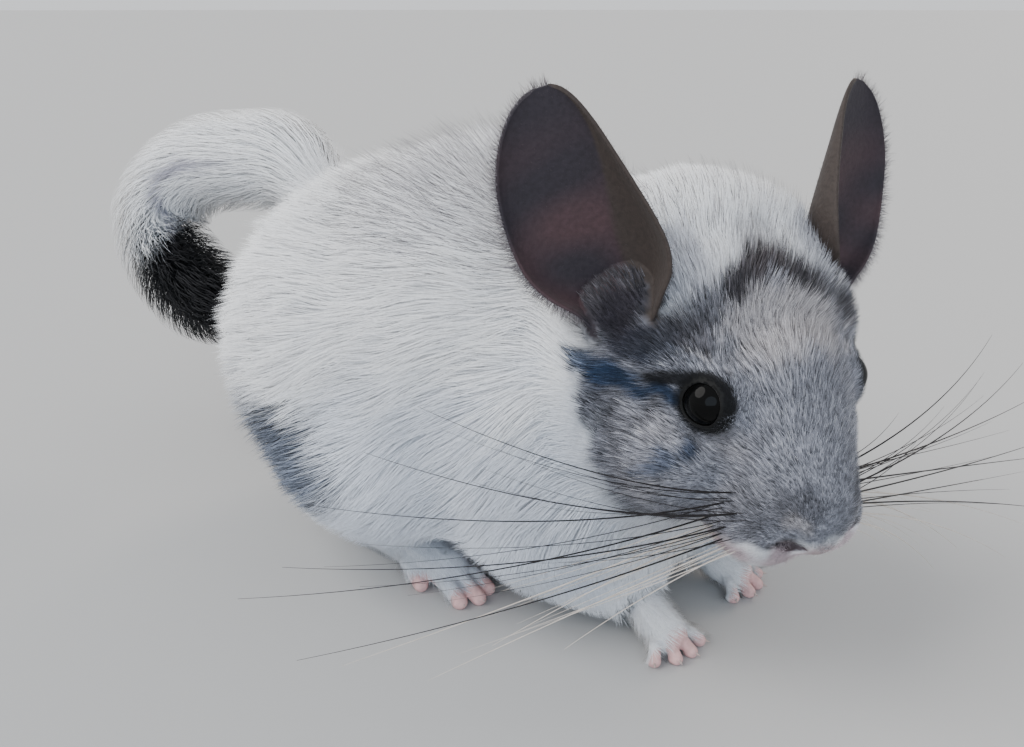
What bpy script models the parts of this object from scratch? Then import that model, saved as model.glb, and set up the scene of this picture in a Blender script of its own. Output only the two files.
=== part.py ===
"""A chinchilla at life size, standing low on four feet, its head turned and lowered and its tail curled.

Metres, +Z up. The animal faces -Y, so its right side lies at -X. The soles stand on z = 0.
Every solid reaches out to the tips of the coat.
"""

import math
import random

import bmesh
import bpy
from mathutils import Matrix, Vector

# How closely neighbouring solids meet, and how finely the flesh is melted together
GAP = 0.0003
BODY_VOXEL = 0.0030
HEAD_VOXEL = 0.0013
PAW_VOXEL = 0.0007

# The trunk, measured over the coat
BACK_TOP = 0.1100
TRUNK_HALF_WIDTH = 0.0600
RUMP_END = 0.1500

# The head: the point between the eyes, how far it is turned to its right, bent down and tilted
HEAD_CENTRE = Vector((-0.0035, -0.0139, 0.0656))
HEAD_TURN = math.radians(-20)
HEAD_DROP = math.radians(31)
HEAD_TILT = math.radians(1)
EYE_SPACING = 0.0350
EYE_RADIUS = 0.0052
LID_RADIUS = 0.0046
LID_THICKNESS = 0.0007

# The ears: the left one is swung a little further to the front than the right one
EAR_LENGTH = 0.0455
EAR_THICKNESS = 0.0012
EAR_SWING = {"right": 0.0, "left": math.radians(-17)}

# The feet: where each forepaw's toes end and how far it is turned, and where the middle hind toes end
FOREPAW_TIPS = {"right": (-0.0150, -0.0045), "left": (0.0210, -0.0015)}
FOREPAW_TURN = {"right": math.radians(-12), "left": math.radians(6)}
HINDFOOT_SPREAD = 0.0300
HINDFOOT_TIPS = 0.0450
HINDFOOT_LENGTH = 0.0520

# The tail's middle line, from its root on the rump over the top of the arch to its tip. The brush is split
# at two joints, its core takes that share of its radius, and the locks stand on the core in rows.
TAIL_BENDS = [
    Vector((0.0040, 0.1380, 0.0760)),
    Vector((0.0045, 0.1577, 0.0920)),
    Vector((-0.0007, 0.1773, 0.0925)),
    Vector((-0.0051, 0.1961, 0.0899)),
    Vector((-0.0107, 0.2075, 0.0824)),
    Vector((-0.0156, 0.2108, 0.0729)),
    Vector((-0.0179, 0.2044, 0.0622)),
    Vector((-0.0193, 0.1896, 0.0548)),
    Vector((-0.0202, 0.1723, 0.0499)),
    Vector((-0.0200, 0.1590, 0.0480)),
]
PLUME_RADIUS = 0.0165
TAIL_JOINTS = (0.36, 0.66)
TAIL_CORE = 0.42
TAIL_STEPS = 30
LOCK_ROWS = 3
LOCKS_ROUND = 4
LOCK_LENGTH = 0.21
LOCK_WIDTH = 0.0114

HEAD_MATRIX = (
    Matrix.Translation(HEAD_CENTRE)
    @ Matrix.Rotation(HEAD_TURN, 4, "Z")
    @ Matrix.Rotation(HEAD_DROP, 4, "X")
    @ Matrix.Rotation(HEAD_TILT, 4, "Y")
)
SIDES = {"right": -1, "left": 1}


def clear_scene():
    for old in list(bpy.data.objects):
        bpy.data.objects.remove(old)


def add_object(name, mesh):
    made = bpy.data.objects.new(name, mesh)
    bpy.context.scene.collection.objects.link(made)
    return made


def object_of(name, shapes):
    """An object from a bmesh, which is used up."""
    mesh = bpy.data.meshes.new(name)
    bmesh.ops.recalc_face_normals(shapes, faces=shapes.faces)
    shapes.to_mesh(mesh)
    shapes.free()
    return add_object(name, mesh)


def settle(obj):
    """Applies the object's modifiers."""
    graph = bpy.context.evaluated_depsgraph_get()
    mesh = bpy.data.meshes.new_from_object(obj.evaluated_get(graph))
    obj.modifiers.clear()
    obj.data = mesh


def remove(*objs):
    for obj in objs:
        bpy.data.objects.remove(obj)


def copy_of(obj, name):
    return add_object(name, obj.data.copy())


def ball(shapes, centre, radii, turn=None, steps=3):
    """Adds an ellipsoid to the bmesh, turned about its own centre."""
    place = Matrix.Translation(Vector(centre)) @ (turn or Matrix.Identity(4))
    size = Matrix.Diagonal((*radii, 1.0))
    bmesh.ops.create_icosphere(shapes, subdivisions=steps, radius=1.0, matrix=place @ size)


def limb(shapes, points, radii, spacing=0.35):
    """Adds a chain of balls through the points, close enough to melt into one limb."""
    for (start, end), (first, last) in zip(zip(points, points[1:]), zip(radii, radii[1:])):
        start, end = Vector(start), Vector(end)
        count = max(2, math.ceil((end - start).length / (spacing * min(first, last))) + 1)
        for step in range(count):
            share = step / (count - 1)
            radius = first + (last - first) * share
            ball(shapes, start.lerp(end, share), (radius,) * 3, steps=2)


def melt(name, shapes, voxel, rounds, triangles):
    """Melts overlapping closed shapes into one soft skin of about that many triangles."""
    body = object_of(name, shapes)
    skin = body.modifiers.new("Melt", "REMESH")
    skin.mode = "VOXEL"
    skin.voxel_size = voxel
    settle(body)
    soft = body.modifiers.new("Soften", "SMOOTH")
    soft.factor = 0.5
    soft.iterations = rounds
    settle(body)
    keep_largest(body)
    found = sum(len(face.vertices) - 2 for face in body.data.polygons)
    thin = body.modifiers.new("Thin", "DECIMATE")
    thin.ratio = min(1.0, triangles / found)
    settle(body)
    return body


def islands(shapes):
    """The separate surfaces of a bmesh, each as a list of faces."""
    left = set(shapes.faces)
    found = []
    while left:
        queue = [left.pop()]
        island = []
        while queue:
            face = queue.pop()
            island.append(face)
            for edge in face.edges:
                for other in edge.link_faces:
                    if other in left:
                        left.remove(other)
                        queue.append(other)
        found.append(island)
    return found


def keep_largest(obj):
    """Drops every closed surface but the one with the most volume."""
    shapes = bmesh.new()
    shapes.from_mesh(obj.data)
    bmesh.ops.triangulate(shapes, faces=shapes.faces)

    def volume(island):
        return abs(sum(f.verts[0].co.dot(f.verts[1].co.cross(f.verts[2].co)) for f in island))

    found = sorted(islands(shapes), key=volume)
    spare = [face for island in found[:-1] for face in island]
    bmesh.ops.delete(shapes, geom=spare, context="FACES")
    shapes.to_mesh(obj.data)
    shapes.free()


def tidy(obj):
    """Melts away the slivers that a union leaves on flat faces."""
    shapes = bmesh.new()
    shapes.from_mesh(obj.data)
    bmesh.ops.dissolve_limit(
        shapes, angle_limit=math.radians(0.05), verts=shapes.verts, edges=shapes.edges
    )
    bmesh.ops.triangulate(shapes, faces=shapes.faces)
    shapes.to_mesh(obj.data)
    shapes.free()


def fuse(target, others):
    """Joins overlapping closed shapes to the target with one union, and uses them up."""
    group = bpy.data.collections.new("joined")
    for other in others:
        group.objects.link(other)
    step = target.modifiers.new("Fuse", "BOOLEAN")
    step.operation = "UNION"
    step.solver = "MANIFOLD"
    step.operand_type = "COLLECTION"
    step.collection = group
    settle(target)
    remove(*others)
    bpy.data.collections.remove(group)
    tidy(target)
    keep_largest(target)


def combine(target, other, operation, solver="EXACT"):
    """One Boolean, of which only the largest closed surface stays."""
    step = target.modifiers.new(operation.title(), "BOOLEAN")
    step.solver = solver
    step.operation = operation
    step.object = other
    settle(target)
    keep_largest(target)


def grown(obj, distance=GAP):
    """A copy whose surface lies that far outside the first one's."""
    made = copy_of(obj, obj.name + "_grown")
    step = made.modifiers.new("Grow", "DISPLACE")
    step.direction = "NORMAL"
    step.mid_level = 0.0
    step.strength = distance
    settle(made)
    return made


def clear_of(target, *others, solver="EXACT"):
    """Cuts the target back so that it meets each of the others with a gap."""
    for other in others:
        cutter = grown(other)
        combine(target, cutter, "DIFFERENCE", solver)
        remove(cutter)


def part_by(source, name, cutter):
    """Takes the part of source inside the cutter into a new node, and leaves the rest a gap away."""
    part = copy_of(source, name)
    combine(part, cutter, "INTERSECT")
    wider = grown(cutter)
    combine(source, wider, "DIFFERENCE")
    remove(cutter, wider)
    return part


def half_of(source, name, point, normal):
    """The part of source on the side that the normal points to, ending half a gap short of the point."""
    normal = Vector(normal).normalized()
    shapes = bmesh.new()
    bmesh.ops.create_cube(shapes, size=1.0, matrix=Matrix.Translation((0, 0, 0.5 + GAP / 2)))
    turn = normal.to_track_quat("Z", "Y").to_matrix().to_4x4()
    shapes.transform(Matrix.Translation(Vector(point)) @ turn)
    side = object_of("side", shapes)
    made = copy_of(source, name)
    combine(made, side, "INTERSECT")
    remove(side)
    return made


def split(source, name, point, normal):
    """Cuts the part that the normal points to off the source, into its own node."""
    part = half_of(source, name, point, normal)
    rest = half_of(source, source.name + "_rest", point, -Vector(normal))
    source.data = rest.data
    remove(rest)
    return part


def flatten_sole(obj):
    """Cuts a foot flat where it stands on the floor."""
    sole = half_of(obj, obj.name + "_sole", (0, 0, -GAP / 2), (0, 0, 1))
    obj.data = sole.data
    remove(sole)


def smooth_path(points, count):
    """Points along one smooth curve through the given ones."""
    ends = [points[0] * 2 - points[1], *points, points[-1] * 2 - points[-2]]
    spans = len(points) - 1
    found = []
    for step in range(count):
        place = step / (count - 1) * spans
        span = min(int(place), spans - 1)
        t = place - span
        before, start, end, after = ends[span : span + 4]
        found.append(
            start
            + ((end - before) * t + (before * 2 - start * 5 + end * 4 - after) * t * t) / 2
            + (start * 3 - before - end * 3 + after) * t * t * t / 2
        )
    return found


def tube(shapes, path, radii, sides):
    """Adds a closed tube of varying radius. The path has one point more at each end, to steer by."""
    across = (path[1] - path[0]).orthogonal().normalized()
    rings = []
    for index, radius in enumerate(radii):
        along = (path[index + 2] - path[index]).normalized()
        across = (across - along * across.dot(along)).normalized()
        up = along.cross(across)
        ring = []
        for side in range(sides):
            angle = math.tau * side / sides
            offset = across * math.cos(angle) + up * math.sin(angle)
            ring.append(shapes.verts.new(path[index + 1] + offset * radius))
        rings.append(ring)
    for low, high in zip(rings, rings[1:]):
        for side in range(sides):
            after = (side + 1) % sides
            shapes.faces.new((low[side], low[after], high[after], high[side]))
    shapes.faces.new(rings[0][::-1])
    shapes.faces.new(rings[-1])


def forepaw_place(label):
    """Where a forepaw stands, with its toes turned outwards about their own middle."""
    across, tips = FOREPAW_TIPS[label]
    return Matrix.Translation((across, tips, -0.0005)) @ Matrix.Rotation(FOREPAW_TURN[label], 4, "Z")


# The trunk: a deep round rump and a lower, narrower chest, carried on thick thighs and short forelegs
def make_trunk():
    shapes = bmesh.new()
    ball(shapes, (0, RUMP_END - 0.060, 0.0540), (TRUNK_HALF_WIDTH, 0.060, 0.0510))
    ball(shapes, (0, 0.067, 0.0610), (0.053, 0.052, BACK_TOP - 0.0600))
    ball(shapes, (0, 0.040, 0.0500), (0.046, 0.040, 0.0460))
    ball(shapes, (0, 0.024, 0.0450), (0.038, 0.028, 0.0360))
    limb(shapes, [(0, 0.045, 0.074), (-0.003, 0.020, 0.074)], [0.034, 0.028])
    for label, side in SIDES.items():
        ball(shapes, (side * 0.038, 0.077, 0.0375), (0.021, 0.034, 0.027))
        ball(shapes, (side * 0.022, 0.038, 0.0275), (0.020, 0.024, 0.0165))
        wrist = forepaw_place(label) @ Vector((0, 0.017, 0.0090))
        elbow = wrist + Vector((side * 0.009, 0.023, 0.0085))
        limb(shapes, [elbow, wrist], [0.0140, 0.0075])
    return melt("trunk", shapes, BODY_VOXEL, 8, 860)


# The head, in its own frame: x to its left, y backwards, z up, from the point between the eyes
def make_head():
    shapes = bmesh.new()
    ball(shapes, (0, 0.029, -0.005), (0.0370, 0.035, 0.026))
    ball(shapes, (0, 0.036, 0.000), (0.0330, 0.024, 0.0235))
    limb(shapes, [(0, 0.004, -0.005), (0, -0.0190, -0.0115)], [0.0198, 0.0115])
    for side in SIDES.values():
        ball(shapes, (side * 0.0165, 0.012, -0.020), (0.0170, 0.026, 0.018))
        ball(shapes, (side * 0.0275, 0.027, -0.0020), (0.0110, 0.0130, 0.0110))
        ball(shapes, (side * 0.0141, 0.0030, -0.0005), (0.0086, 0.0115, 0.0094))
        ball(shapes, (side * 0.0070, -0.0160, -0.0178), (0.0116, 0.012, 0.0102))
    ball(shapes, (0, -0.0265, -0.0130), (0.005, 0.004, 0.004))
    ball(shapes, (0, -0.012, -0.0280), (0.009, 0.011, 0.007))
    shapes.transform(HEAD_MATRIX)
    return melt("head", shapes, HEAD_VOXEL, 5, 1250)


# The nostrils are two slanting dents, with the groove of the upper lip below them
def carve_nose(muzzle):
    shapes = bmesh.new()
    for side in SIDES.values():
        slant = Matrix.Rotation(side * math.radians(35), 4, "Y")
        ball(shapes, (side * 0.0023, -0.0296, -0.0138), (0.0016, 0.0022, 0.0007), slant, steps=2)
    shapes.transform(HEAD_MATRIX)
    dents = object_of("dents", shapes)
    combine(muzzle, dents, "DIFFERENCE")
    shapes = bmesh.new()
    ball(shapes, (0, -0.0285, -0.0200), (0.0005, 0.0040, 0.0042), steps=2)
    shapes.transform(HEAD_MATRIX)
    groove = object_of("groove", shapes)
    combine(muzzle, groove, "DIFFERENCE")
    remove(dents, groove)


# The whiskers, by share down the pad: how far each points back of sideways, how far down, both in degrees,
# and how long it is. They leave the pad in two rows, and bow the more, the further they point back. Those
# on the left are swung forwards and up.
WHISKERS = [
    (0.00, 33, 2, 0.066),
    (0.10, 29, 7, 0.078),
    (0.20, 22, 13, 0.086),
    (0.30, 19, 18, 0.094),
    (0.42, 16, 22, 0.102),
    (0.54, 10, 24, 0.094),
    (0.66, 6, 27, 0.084),
    (0.78, 3, 29, 0.070),
    (0.88, 1, 32, 0.054),
    (1.00, -2, 34, 0.042),
]
WHISKER_RADIUS = 0.00036
BOW_PER_DEGREE = 0.005
LEFT_FORWARD = 14
LEFT_LIFT = 8


def whisker_line(label, index):
    """The root of a whisker, the vector from there to its tip, and how its middle bows forwards."""
    side = SIDES[label]
    share, back, down, length = WHISKERS[index]
    if label == "left":
        back -= LEFT_FORWARD
        down -= LEFT_LIFT
    row = index % 2
    root = Vector((side * (0.0142 - 0.0014 * row), -0.0150 - 0.0045 * row, -0.0125))
    root -= Vector((0, 0.0030, 0.0095)) * share
    sweep = math.radians(back)
    drop = math.radians(down)
    aim = Vector((side * math.cos(sweep) * math.cos(drop), math.sin(sweep) * math.cos(drop), -math.sin(drop)))
    return root, aim * length, Vector((0, -BOW_PER_DEGREE * back, 0)) * length


def make_whisker(label, index):
    """A slim three-sided spine that tapers to a point."""
    root, reach, bow = whisker_line(label, index)
    across = reach.orthogonal().normalized()
    up = reach.normalized().cross(across)
    shapes = bmesh.new()
    rings = []
    for along in (0.0, 0.34, 0.68):
        centre = root + reach * along + bow * 4 * (along - along * along)
        ring = []
        for corner in range(3):
            turn = math.tau * corner / 3
            offset = across * math.cos(turn) + up * math.sin(turn)
            ring.append(shapes.verts.new(centre + offset * WHISKER_RADIUS))
        rings.append(ring)
    tip = shapes.verts.new(root + reach)
    for low, high in zip(rings, rings[1:]):
        for corner in range(3):
            after = (corner + 1) % 3
            shapes.faces.new((low[corner], low[after], high[after], high[corner]))
    for corner in range(3):
        shapes.faces.new((rings[-1][corner], rings[-1][(corner + 1) % 3], tip))
    shapes.faces.new(rings[0][::-1])
    bmesh.ops.triangulate(shapes, faces=shapes.faces)
    shapes.transform(HEAD_MATRIX)
    return object_of("whisker", shapes)


def add_whiskers(muzzle):
    fuse(muzzle, [make_whisker(label, index) for label in SIDES for index in range(len(WHISKERS))])


def make_eye(name, side):
    shapes = bmesh.new()
    centre = HEAD_MATRIX @ Vector((side * EYE_SPACING / 2, 0, 0))
    bmesh.ops.create_icosphere(
        shapes, subdivisions=3, radius=EYE_RADIUS, matrix=Matrix.Translation(centre)
    )
    return object_of(name, shapes)


# The lids: a soft ring round the front of the eyeball, looking out, forwards and a little up
def add_lids(head, side):
    gaze = Vector((side * 0.86, -0.36, 0.36)).normalized()
    rise = math.sqrt(EYE_RADIUS**2 - LID_RADIUS**2)
    centre = Vector((side * EYE_SPACING / 2, 0, 0)) + gaze * rise
    across = gaze.orthogonal().normalized()
    up = gaze.cross(across)
    shapes = bmesh.new()
    steps, sides = 16, 6
    rings = []
    for step in range(steps):
        angle = math.tau * step / steps
        out = across * math.cos(angle) + up * math.sin(angle)
        ring = []
        for corner in range(sides):
            turn = math.tau * corner / sides
            bulge = out * math.cos(turn) + gaze * math.sin(turn)
            ring.append(shapes.verts.new(centre + out * LID_RADIUS + bulge * LID_THICKNESS))
        rings.append(ring)
    for low, high in zip(rings, rings[1:] + rings[:1]):
        for corner in range(sides):
            after = (corner + 1) % sides
            shapes.faces.new((low[corner], low[after], high[after], high[corner]))
    shapes.transform(HEAD_MATRIX)
    lids = object_of("lids", shapes)
    combine(head, lids, "UNION")
    remove(lids)


# An ear, by height over its notch: how far its outer and inner edges stand to each side of its middle
# line, and how far they come forwards. It is a thin cup of skin, open to the front and the side.
EAR_ROWS = [
    (-0.004, 0.0030, 0.0085, 0.0080, 0.0120),
    (0.001, 0.0055, 0.0115, 0.0086, 0.0140),
    (0.005, 0.0095, 0.0142, 0.0080, 0.0146),
    (0.010, 0.0128, 0.0150, 0.0070, 0.0134),
    (0.016, 0.0143, 0.0140, 0.0058, 0.0110),
    (0.023, 0.0146, 0.0120, 0.0046, 0.0082),
    (0.030, 0.0138, 0.0098, 0.0036, 0.0056),
    (0.036, 0.0116, 0.0078, 0.0026, 0.0034),
    (0.041, 0.0084, 0.0056, 0.0016, 0.0018),
    (0.0440, 0.0050, 0.0034, 0.0008, 0.0008),
    (0.0455, 0.0014, 0.0010, 0.0000, 0.0000),
]
EAR_NOTCH = Vector((0.0325, 0.0214, 0.0052))
EAR_RISE = Vector((0.188, 0.722, 0.667))
EAR_OPENING = Vector((0.534, -0.641, 0.543))


EAR_TURN = math.radians(80)
EAR_COLUMNS = 10


def ear_axes(label):
    """The notch of an ear, and the directions in which it rises, spreads outwards and opens."""
    mirror = Vector((SIDES[label], 1, 1))
    rise = (EAR_RISE * mirror).normalized()
    opening = EAR_OPENING * mirror
    opening = (opening - rise * opening.dot(rise)).normalized()
    opening.rotate(Matrix.Rotation(EAR_SWING[label], 3, rise))
    return EAR_NOTCH * mirror, rise, rise.cross(opening) * SIDES[label], opening


def make_ear(name, label):
    shapes = bmesh.new()
    notch, rise, outward, opening = ear_axes(label)
    grid = []
    for height, outer, inner, outer_forward, inner_forward in EAR_ROWS:
        line = []
        for column in range(EAR_COLUMNS + 1):
            share = 2 * column / EAR_COLUMNS - 1
            turn = EAR_TURN * abs(share)
            edge, forward = (outer, outer_forward) if share > 0 else (-inner, inner_forward)
            across = edge * (math.sin(turn) / math.sin(EAR_TURN)) ** 0.85
            depth = forward * ((1 - math.cos(turn)) / (1 - math.cos(EAR_TURN))) ** 1.2
            depth -= 0.010 * (1 - height / EAR_LENGTH)
            line.append(shapes.verts.new(notch + rise * height + outward * across + opening * depth))
        grid.append(line)
    for low, high in zip(grid, grid[1:]):
        for first, last in zip(zip(low, high), zip(low[1:], high[1:])):
            shapes.faces.new((first[0], last[0], last[1], first[1]))
    shapes.transform(HEAD_MATRIX)
    ear = object_of(name, shapes)
    wall = ear.modifiers.new("Wall", "SOLIDIFY")
    wall.thickness = EAR_THICKNESS
    wall.offset = 0.0
    settle(ear)
    return ear


# A forepaw: a small furred palm and four stubby toes, each with a round pad at its tip
def make_forepaw(name, label):
    shapes = bmesh.new()
    limb(shapes, [(0, 0.0175, 0.0085), (0, 0.0110, 0.0062), (0, 0.0070, 0.0045)], [0.0056, 0.0058, 0.0050])
    for toe in range(4):
        spread = (toe - 1.5) / 1.5
        root = Vector((0.0036 * spread, 0.0075, 0.0040))
        tip = Vector((0.0070 * spread, 0.0012 + 0.0024 * spread * spread, 0.0014))
        knuckle = root.lerp(tip, 0.5) + Vector((0, 0, 0.0008))
        limb(shapes, [root, knuckle, tip], [0.0017, 0.0015, 0.0016])
    shapes.transform(forepaw_place(label))
    paw = melt(name, shapes, PAW_VOXEL, 2, 340)
    flatten_sole(paw)
    return paw


# A hind foot: long and narrow, furred above, with three toes in front and a short outer one
def make_hindfoot(name, side):
    shapes = bmesh.new()
    heel = HINDFOOT_LENGTH
    limb(
        shapes,
        [(0, 0.014, 0.0060), (0, heel * 0.6, 0.0080), (0, heel, 0.0090)],
        [0.0060, 0.0078, 0.0090],
    )
    for toe in range(3):
        spread = toe - 1
        root = Vector((0.0034 * spread, 0.014, 0.0048))
        tip = Vector((0.0046 * spread, 0.0022 + 0.0018 * abs(spread), 0.0020))
        limb(shapes, [root, root.lerp(tip, 0.5) + Vector((0, 0, 0.0008)), tip], [0.0026, 0.0023, 0.0022])
    outer_root = Vector((side * 0.0050, 0.024, 0.0050))
    outer_tip = Vector((side * 0.0068, 0.0165, 0.0021))
    limb(shapes, [outer_root, outer_tip], [0.0026, 0.0021])
    turn = Matrix.Rotation(side * math.radians(4), 4, "Z")
    shapes.transform(Matrix.Translation((side * HINDFOOT_SPREAD, HINDFOOT_TIPS, -0.0009)) @ turn)
    foot = melt(name, shapes, PAW_VOXEL * 1.4, 2, 360)
    flatten_sole(foot)
    return foot


# The tail: a brush of long hair that leaves the rump, arches back and to the right, and hooks down to a
# dark tip. Each of its three lengths is a slim core with flat, tapering locks that lie along it and overlap.
def plume_radius(share):
    return PLUME_RADIUS * min(1.0, 0.70 + 2.0 * share, 0.50 + 3.2 * (1 - share))


def tail_place(line, share, angle):
    """A point of the tail's middle line, and the directions outwards at that angle and along the tail."""
    place = share * TAIL_STEPS
    low = min(int(place), TAIL_STEPS - 1)
    point = line[low + 1].lerp(line[low + 2], place - low)
    along = (line[low + 2] - line[low + 1]).normalized()
    across = Vector((0, 0, 1)) - along * along.z
    if across.length < 0.2:
        across = Vector((1, 0, 0)) - along * along.x
    across.normalize()
    return point, across * math.cos(angle) + along.cross(across) * math.sin(angle), along


def make_lock(line, at, angle, length, width):
    """One lock: it leaves the core, swings outwards to the brush's own radius, and follows the bend."""
    root_rise = TAIL_CORE * 0.55
    tapers = (0.80, 1.0, 0.70)
    path = []
    for step in range(len(tapers) + 1):
        share = min(1.12, at + length * step / len(tapers))
        point, out, along = tail_place(line, share, angle)
        rise = root_rise + (1.0 - root_rise) * math.sin(math.pi / 2 * step / len(tapers)) ** 0.9
        path.append((point + out * plume_radius(min(share, 1.0)) * rise, out, along))
    shapes = bmesh.new()
    rings = []
    for taper, (point, out, along) in zip(tapers, path):
        aside = along.cross(out).normalized() * width * taper
        thick = out * width * 0.36 * taper
        rings.append([shapes.verts.new(point + offset) for offset in (aside, thick, -aside, -thick)])
    tip = shapes.verts.new(path[-1][0])
    for low, high in zip(rings, rings[1:]):
        for corner in range(4):
            after = (corner + 1) % 4
            shapes.faces.new((low[corner], low[after], high[after], high[corner]))
    for corner in range(4):
        shapes.faces.new((rings[-1][corner], rings[-1][(corner + 1) % 4], tip))
    shapes.faces.new(rings[0][::-1])
    bmesh.ops.triangulate(shapes, faces=shapes.faces)
    return object_of("lock", shapes)


def make_tail():
    chance = random.Random(7)
    line = smooth_path(TAIL_BENDS, TAIL_STEPS + 1)
    line = [line[0] * 2 - line[1], *line, line[-1] * 2 - line[-2]]
    steps = [0, *(round(share * TAIL_STEPS) for share in TAIL_JOINTS), TAIL_STEPS]
    lengths = []
    for name, first, last in zip(("tail_base", "tail_middle", "tail_tip"), steps, steps[1:]):
        radii = [plume_radius(step / TAIL_STEPS) * TAIL_CORE for step in range(first, last + 1)]
        path = line[first : last + 3]
        if last < TAIL_STEPS:
            back = (path[-1] - path[-3]).normalized() * GAP
            path = [*path[:-2], path[-2] - back, path[-1] - back]
        shapes = bmesh.new()
        tube(shapes, path, radii, 10)
        bmesh.ops.triangulate(shapes, faces=shapes.faces)
        core = object_of(name, shapes)
        locks = []
        for index in range(LOCK_ROWS * LOCKS_ROUND):
            row, column = divmod(index, LOCKS_ROUND)
            at = (first + 0.3 + (last - first) * (row + 0.15) / LOCK_ROWS) / TAIL_STEPS
            at += chance.uniform(-0.006, 0.006)
            angle = math.tau * (column + 0.5 * (row % 2)) / LOCKS_ROUND + chance.uniform(-0.15, 0.15)
            length = LOCK_LENGTH * chance.uniform(0.9, 1.15)
            if last < TAIL_STEPS:
                length = min(length, last / TAIL_STEPS + 0.03 - at)
            width = LOCK_WIDTH * chance.uniform(0.9, 1.1)
            locks.append(make_lock(line, at, angle, length, width))
        fuse(core, locks)
        lengths.append(core)
    return lengths


MATERIALS = {
    "white_fur": ((0.80, 0.80, 0.82), 0.85),
    "grey_fur": ((0.32, 0.31, 0.33), 0.85),
    "dark_fur": ((0.03, 0.03, 0.035), 0.80),
    "ear_skin": ((0.10, 0.085, 0.09), 0.70),
    "pink_skin": ((0.72, 0.52, 0.50), 0.55),
    "eye_glass": ((0.01, 0.01, 0.012), 0.05),
}


def dress(obj, material):
    obj.data.materials.clear()
    obj.data.materials.append(bpy.data.materials[material])
    obj.data.shade_smooth()
    obj.data.set_sharp_from_angle(angle=math.radians(50))


def make_materials():
    for name, (colour, roughness) in MATERIALS.items():
        made = bpy.data.materials.new(name)
        made.use_nodes = True
        shader = made.node_tree.nodes["Principled BSDF"]
        shader.inputs["Base Color"].default_value = (*colour, 1.0)
        shader.inputs["Roughness"].default_value = roughness
        shader.inputs["Metallic"].default_value = 0.0


def centre_on_floor(objs):
    """Moves every mesh so that the middle of the whole model's box stands at the origin."""
    corners = [v.co for obj in objs for v in obj.data.vertices]
    low = [min(c[axis] for c in corners) for axis in range(3)]
    high = [max(c[axis] for c in corners) for axis in range(3)]
    middle = Vector(((low[0] + high[0]) / 2, (low[1] + high[1]) / 2, low[2]))
    for obj in objs:
        obj.data.transform(Matrix.Translation(-middle))


def main():
    clear_scene()
    make_materials()
    nodes = []

    def keep(obj, name, material):
        obj.name = name
        dress(obj, material)
        nodes.append(obj)

    head = make_head()
    trunk = make_trunk()
    clear_of(trunk, head)
    for label in SIDES:
        ear = make_ear("ear_" + label, label)
        clear_of(ear, head, trunk)
        keep(ear, "ear_" + label, "ear_skin")
    for label, side in SIDES.items():
        eye = make_eye("eye_" + label, side)
        add_lids(head, side)
        clear_of(head, eye)
        keep(eye, "eye_" + label, "eye_glass")

    for label, side in SIDES.items():
        shapes = bmesh.new()
        ball(shapes, (side * 0.044, 0.077, 0.030), (0.024, 0.036, 0.031))
        thigh = part_by(trunk, "thigh_" + label, object_of("cutter", shapes))
        foot = make_hindfoot("hindfoot_" + label, side)
        clear_of(thigh, foot)
        clear_of(trunk, foot)
        shapes = bmesh.new()
        middle = forepaw_place(label) @ Vector((0, 0.0270, 0.0105)) + Vector((side * 0.004, 0, 0))
        ball(shapes, middle, (0.0155, 0.0200, 0.0170), steps=2)
        leg = part_by(trunk, "foreleg_" + label, object_of("cutter", shapes))
        paw = make_forepaw("forepaw_" + label, label)
        clear_of(leg, paw)
        clear_of(trunk, paw)
        keep(thigh, "thigh_" + label, "white_fur")
        keep(foot, "hindfoot_" + label, "white_fur")
        keep(leg, "foreleg_" + label, "white_fur")
        keep(paw, "forepaw_" + label, "pink_skin")

    shapes = bmesh.new()
    ball(shapes, (0, -0.009, -0.0310), (0.0105, 0.0150, 0.0085))
    shapes.transform(HEAD_MATRIX)
    jaw = part_by(head, "lower_jaw", object_of("cutter", shapes))
    keep(jaw, "lower_jaw", "white_fur")
    shapes = bmesh.new()
    ball(shapes, (0, -0.024, -0.0150), (0.0232, 0.0162, 0.0192), steps=2)
    shapes.transform(HEAD_MATRIX)
    muzzle = part_by(head, "muzzle", object_of("cutter", shapes))
    carve_nose(muzzle)
    add_whiskers(muzzle)
    keep(muzzle, "muzzle", "grey_fur")
    keep(head, "head", "grey_fur")

    rump = split(trunk, "rump", (0, 0.088, 0), (0, 1, 0.05))
    neck = split(trunk, "neck", (0, 0.040, 0.072), (0, -0.80, 0.60))
    base, middle, tip = make_tail()
    clear_of(middle, tip, solver="MANIFOLD")
    clear_of(base, middle, rump, solver="MANIFOLD")
    clear_of(tip, rump, solver="MANIFOLD")
    keep(base, "tail_base", "white_fur")
    keep(middle, "tail_middle", "white_fur")
    keep(tip, "tail_tip", "dark_fur")
    keep(rump, "rump", "white_fur")
    keep(neck, "neck", "white_fur")
    keep(trunk, "torso", "white_fur")
    centre_on_floor(nodes)


main()
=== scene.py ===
import math

import bmesh
import bpy
import numpy as np
from mathutils import Matrix, Vector
from mathutils.kdtree import KDTree


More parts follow.
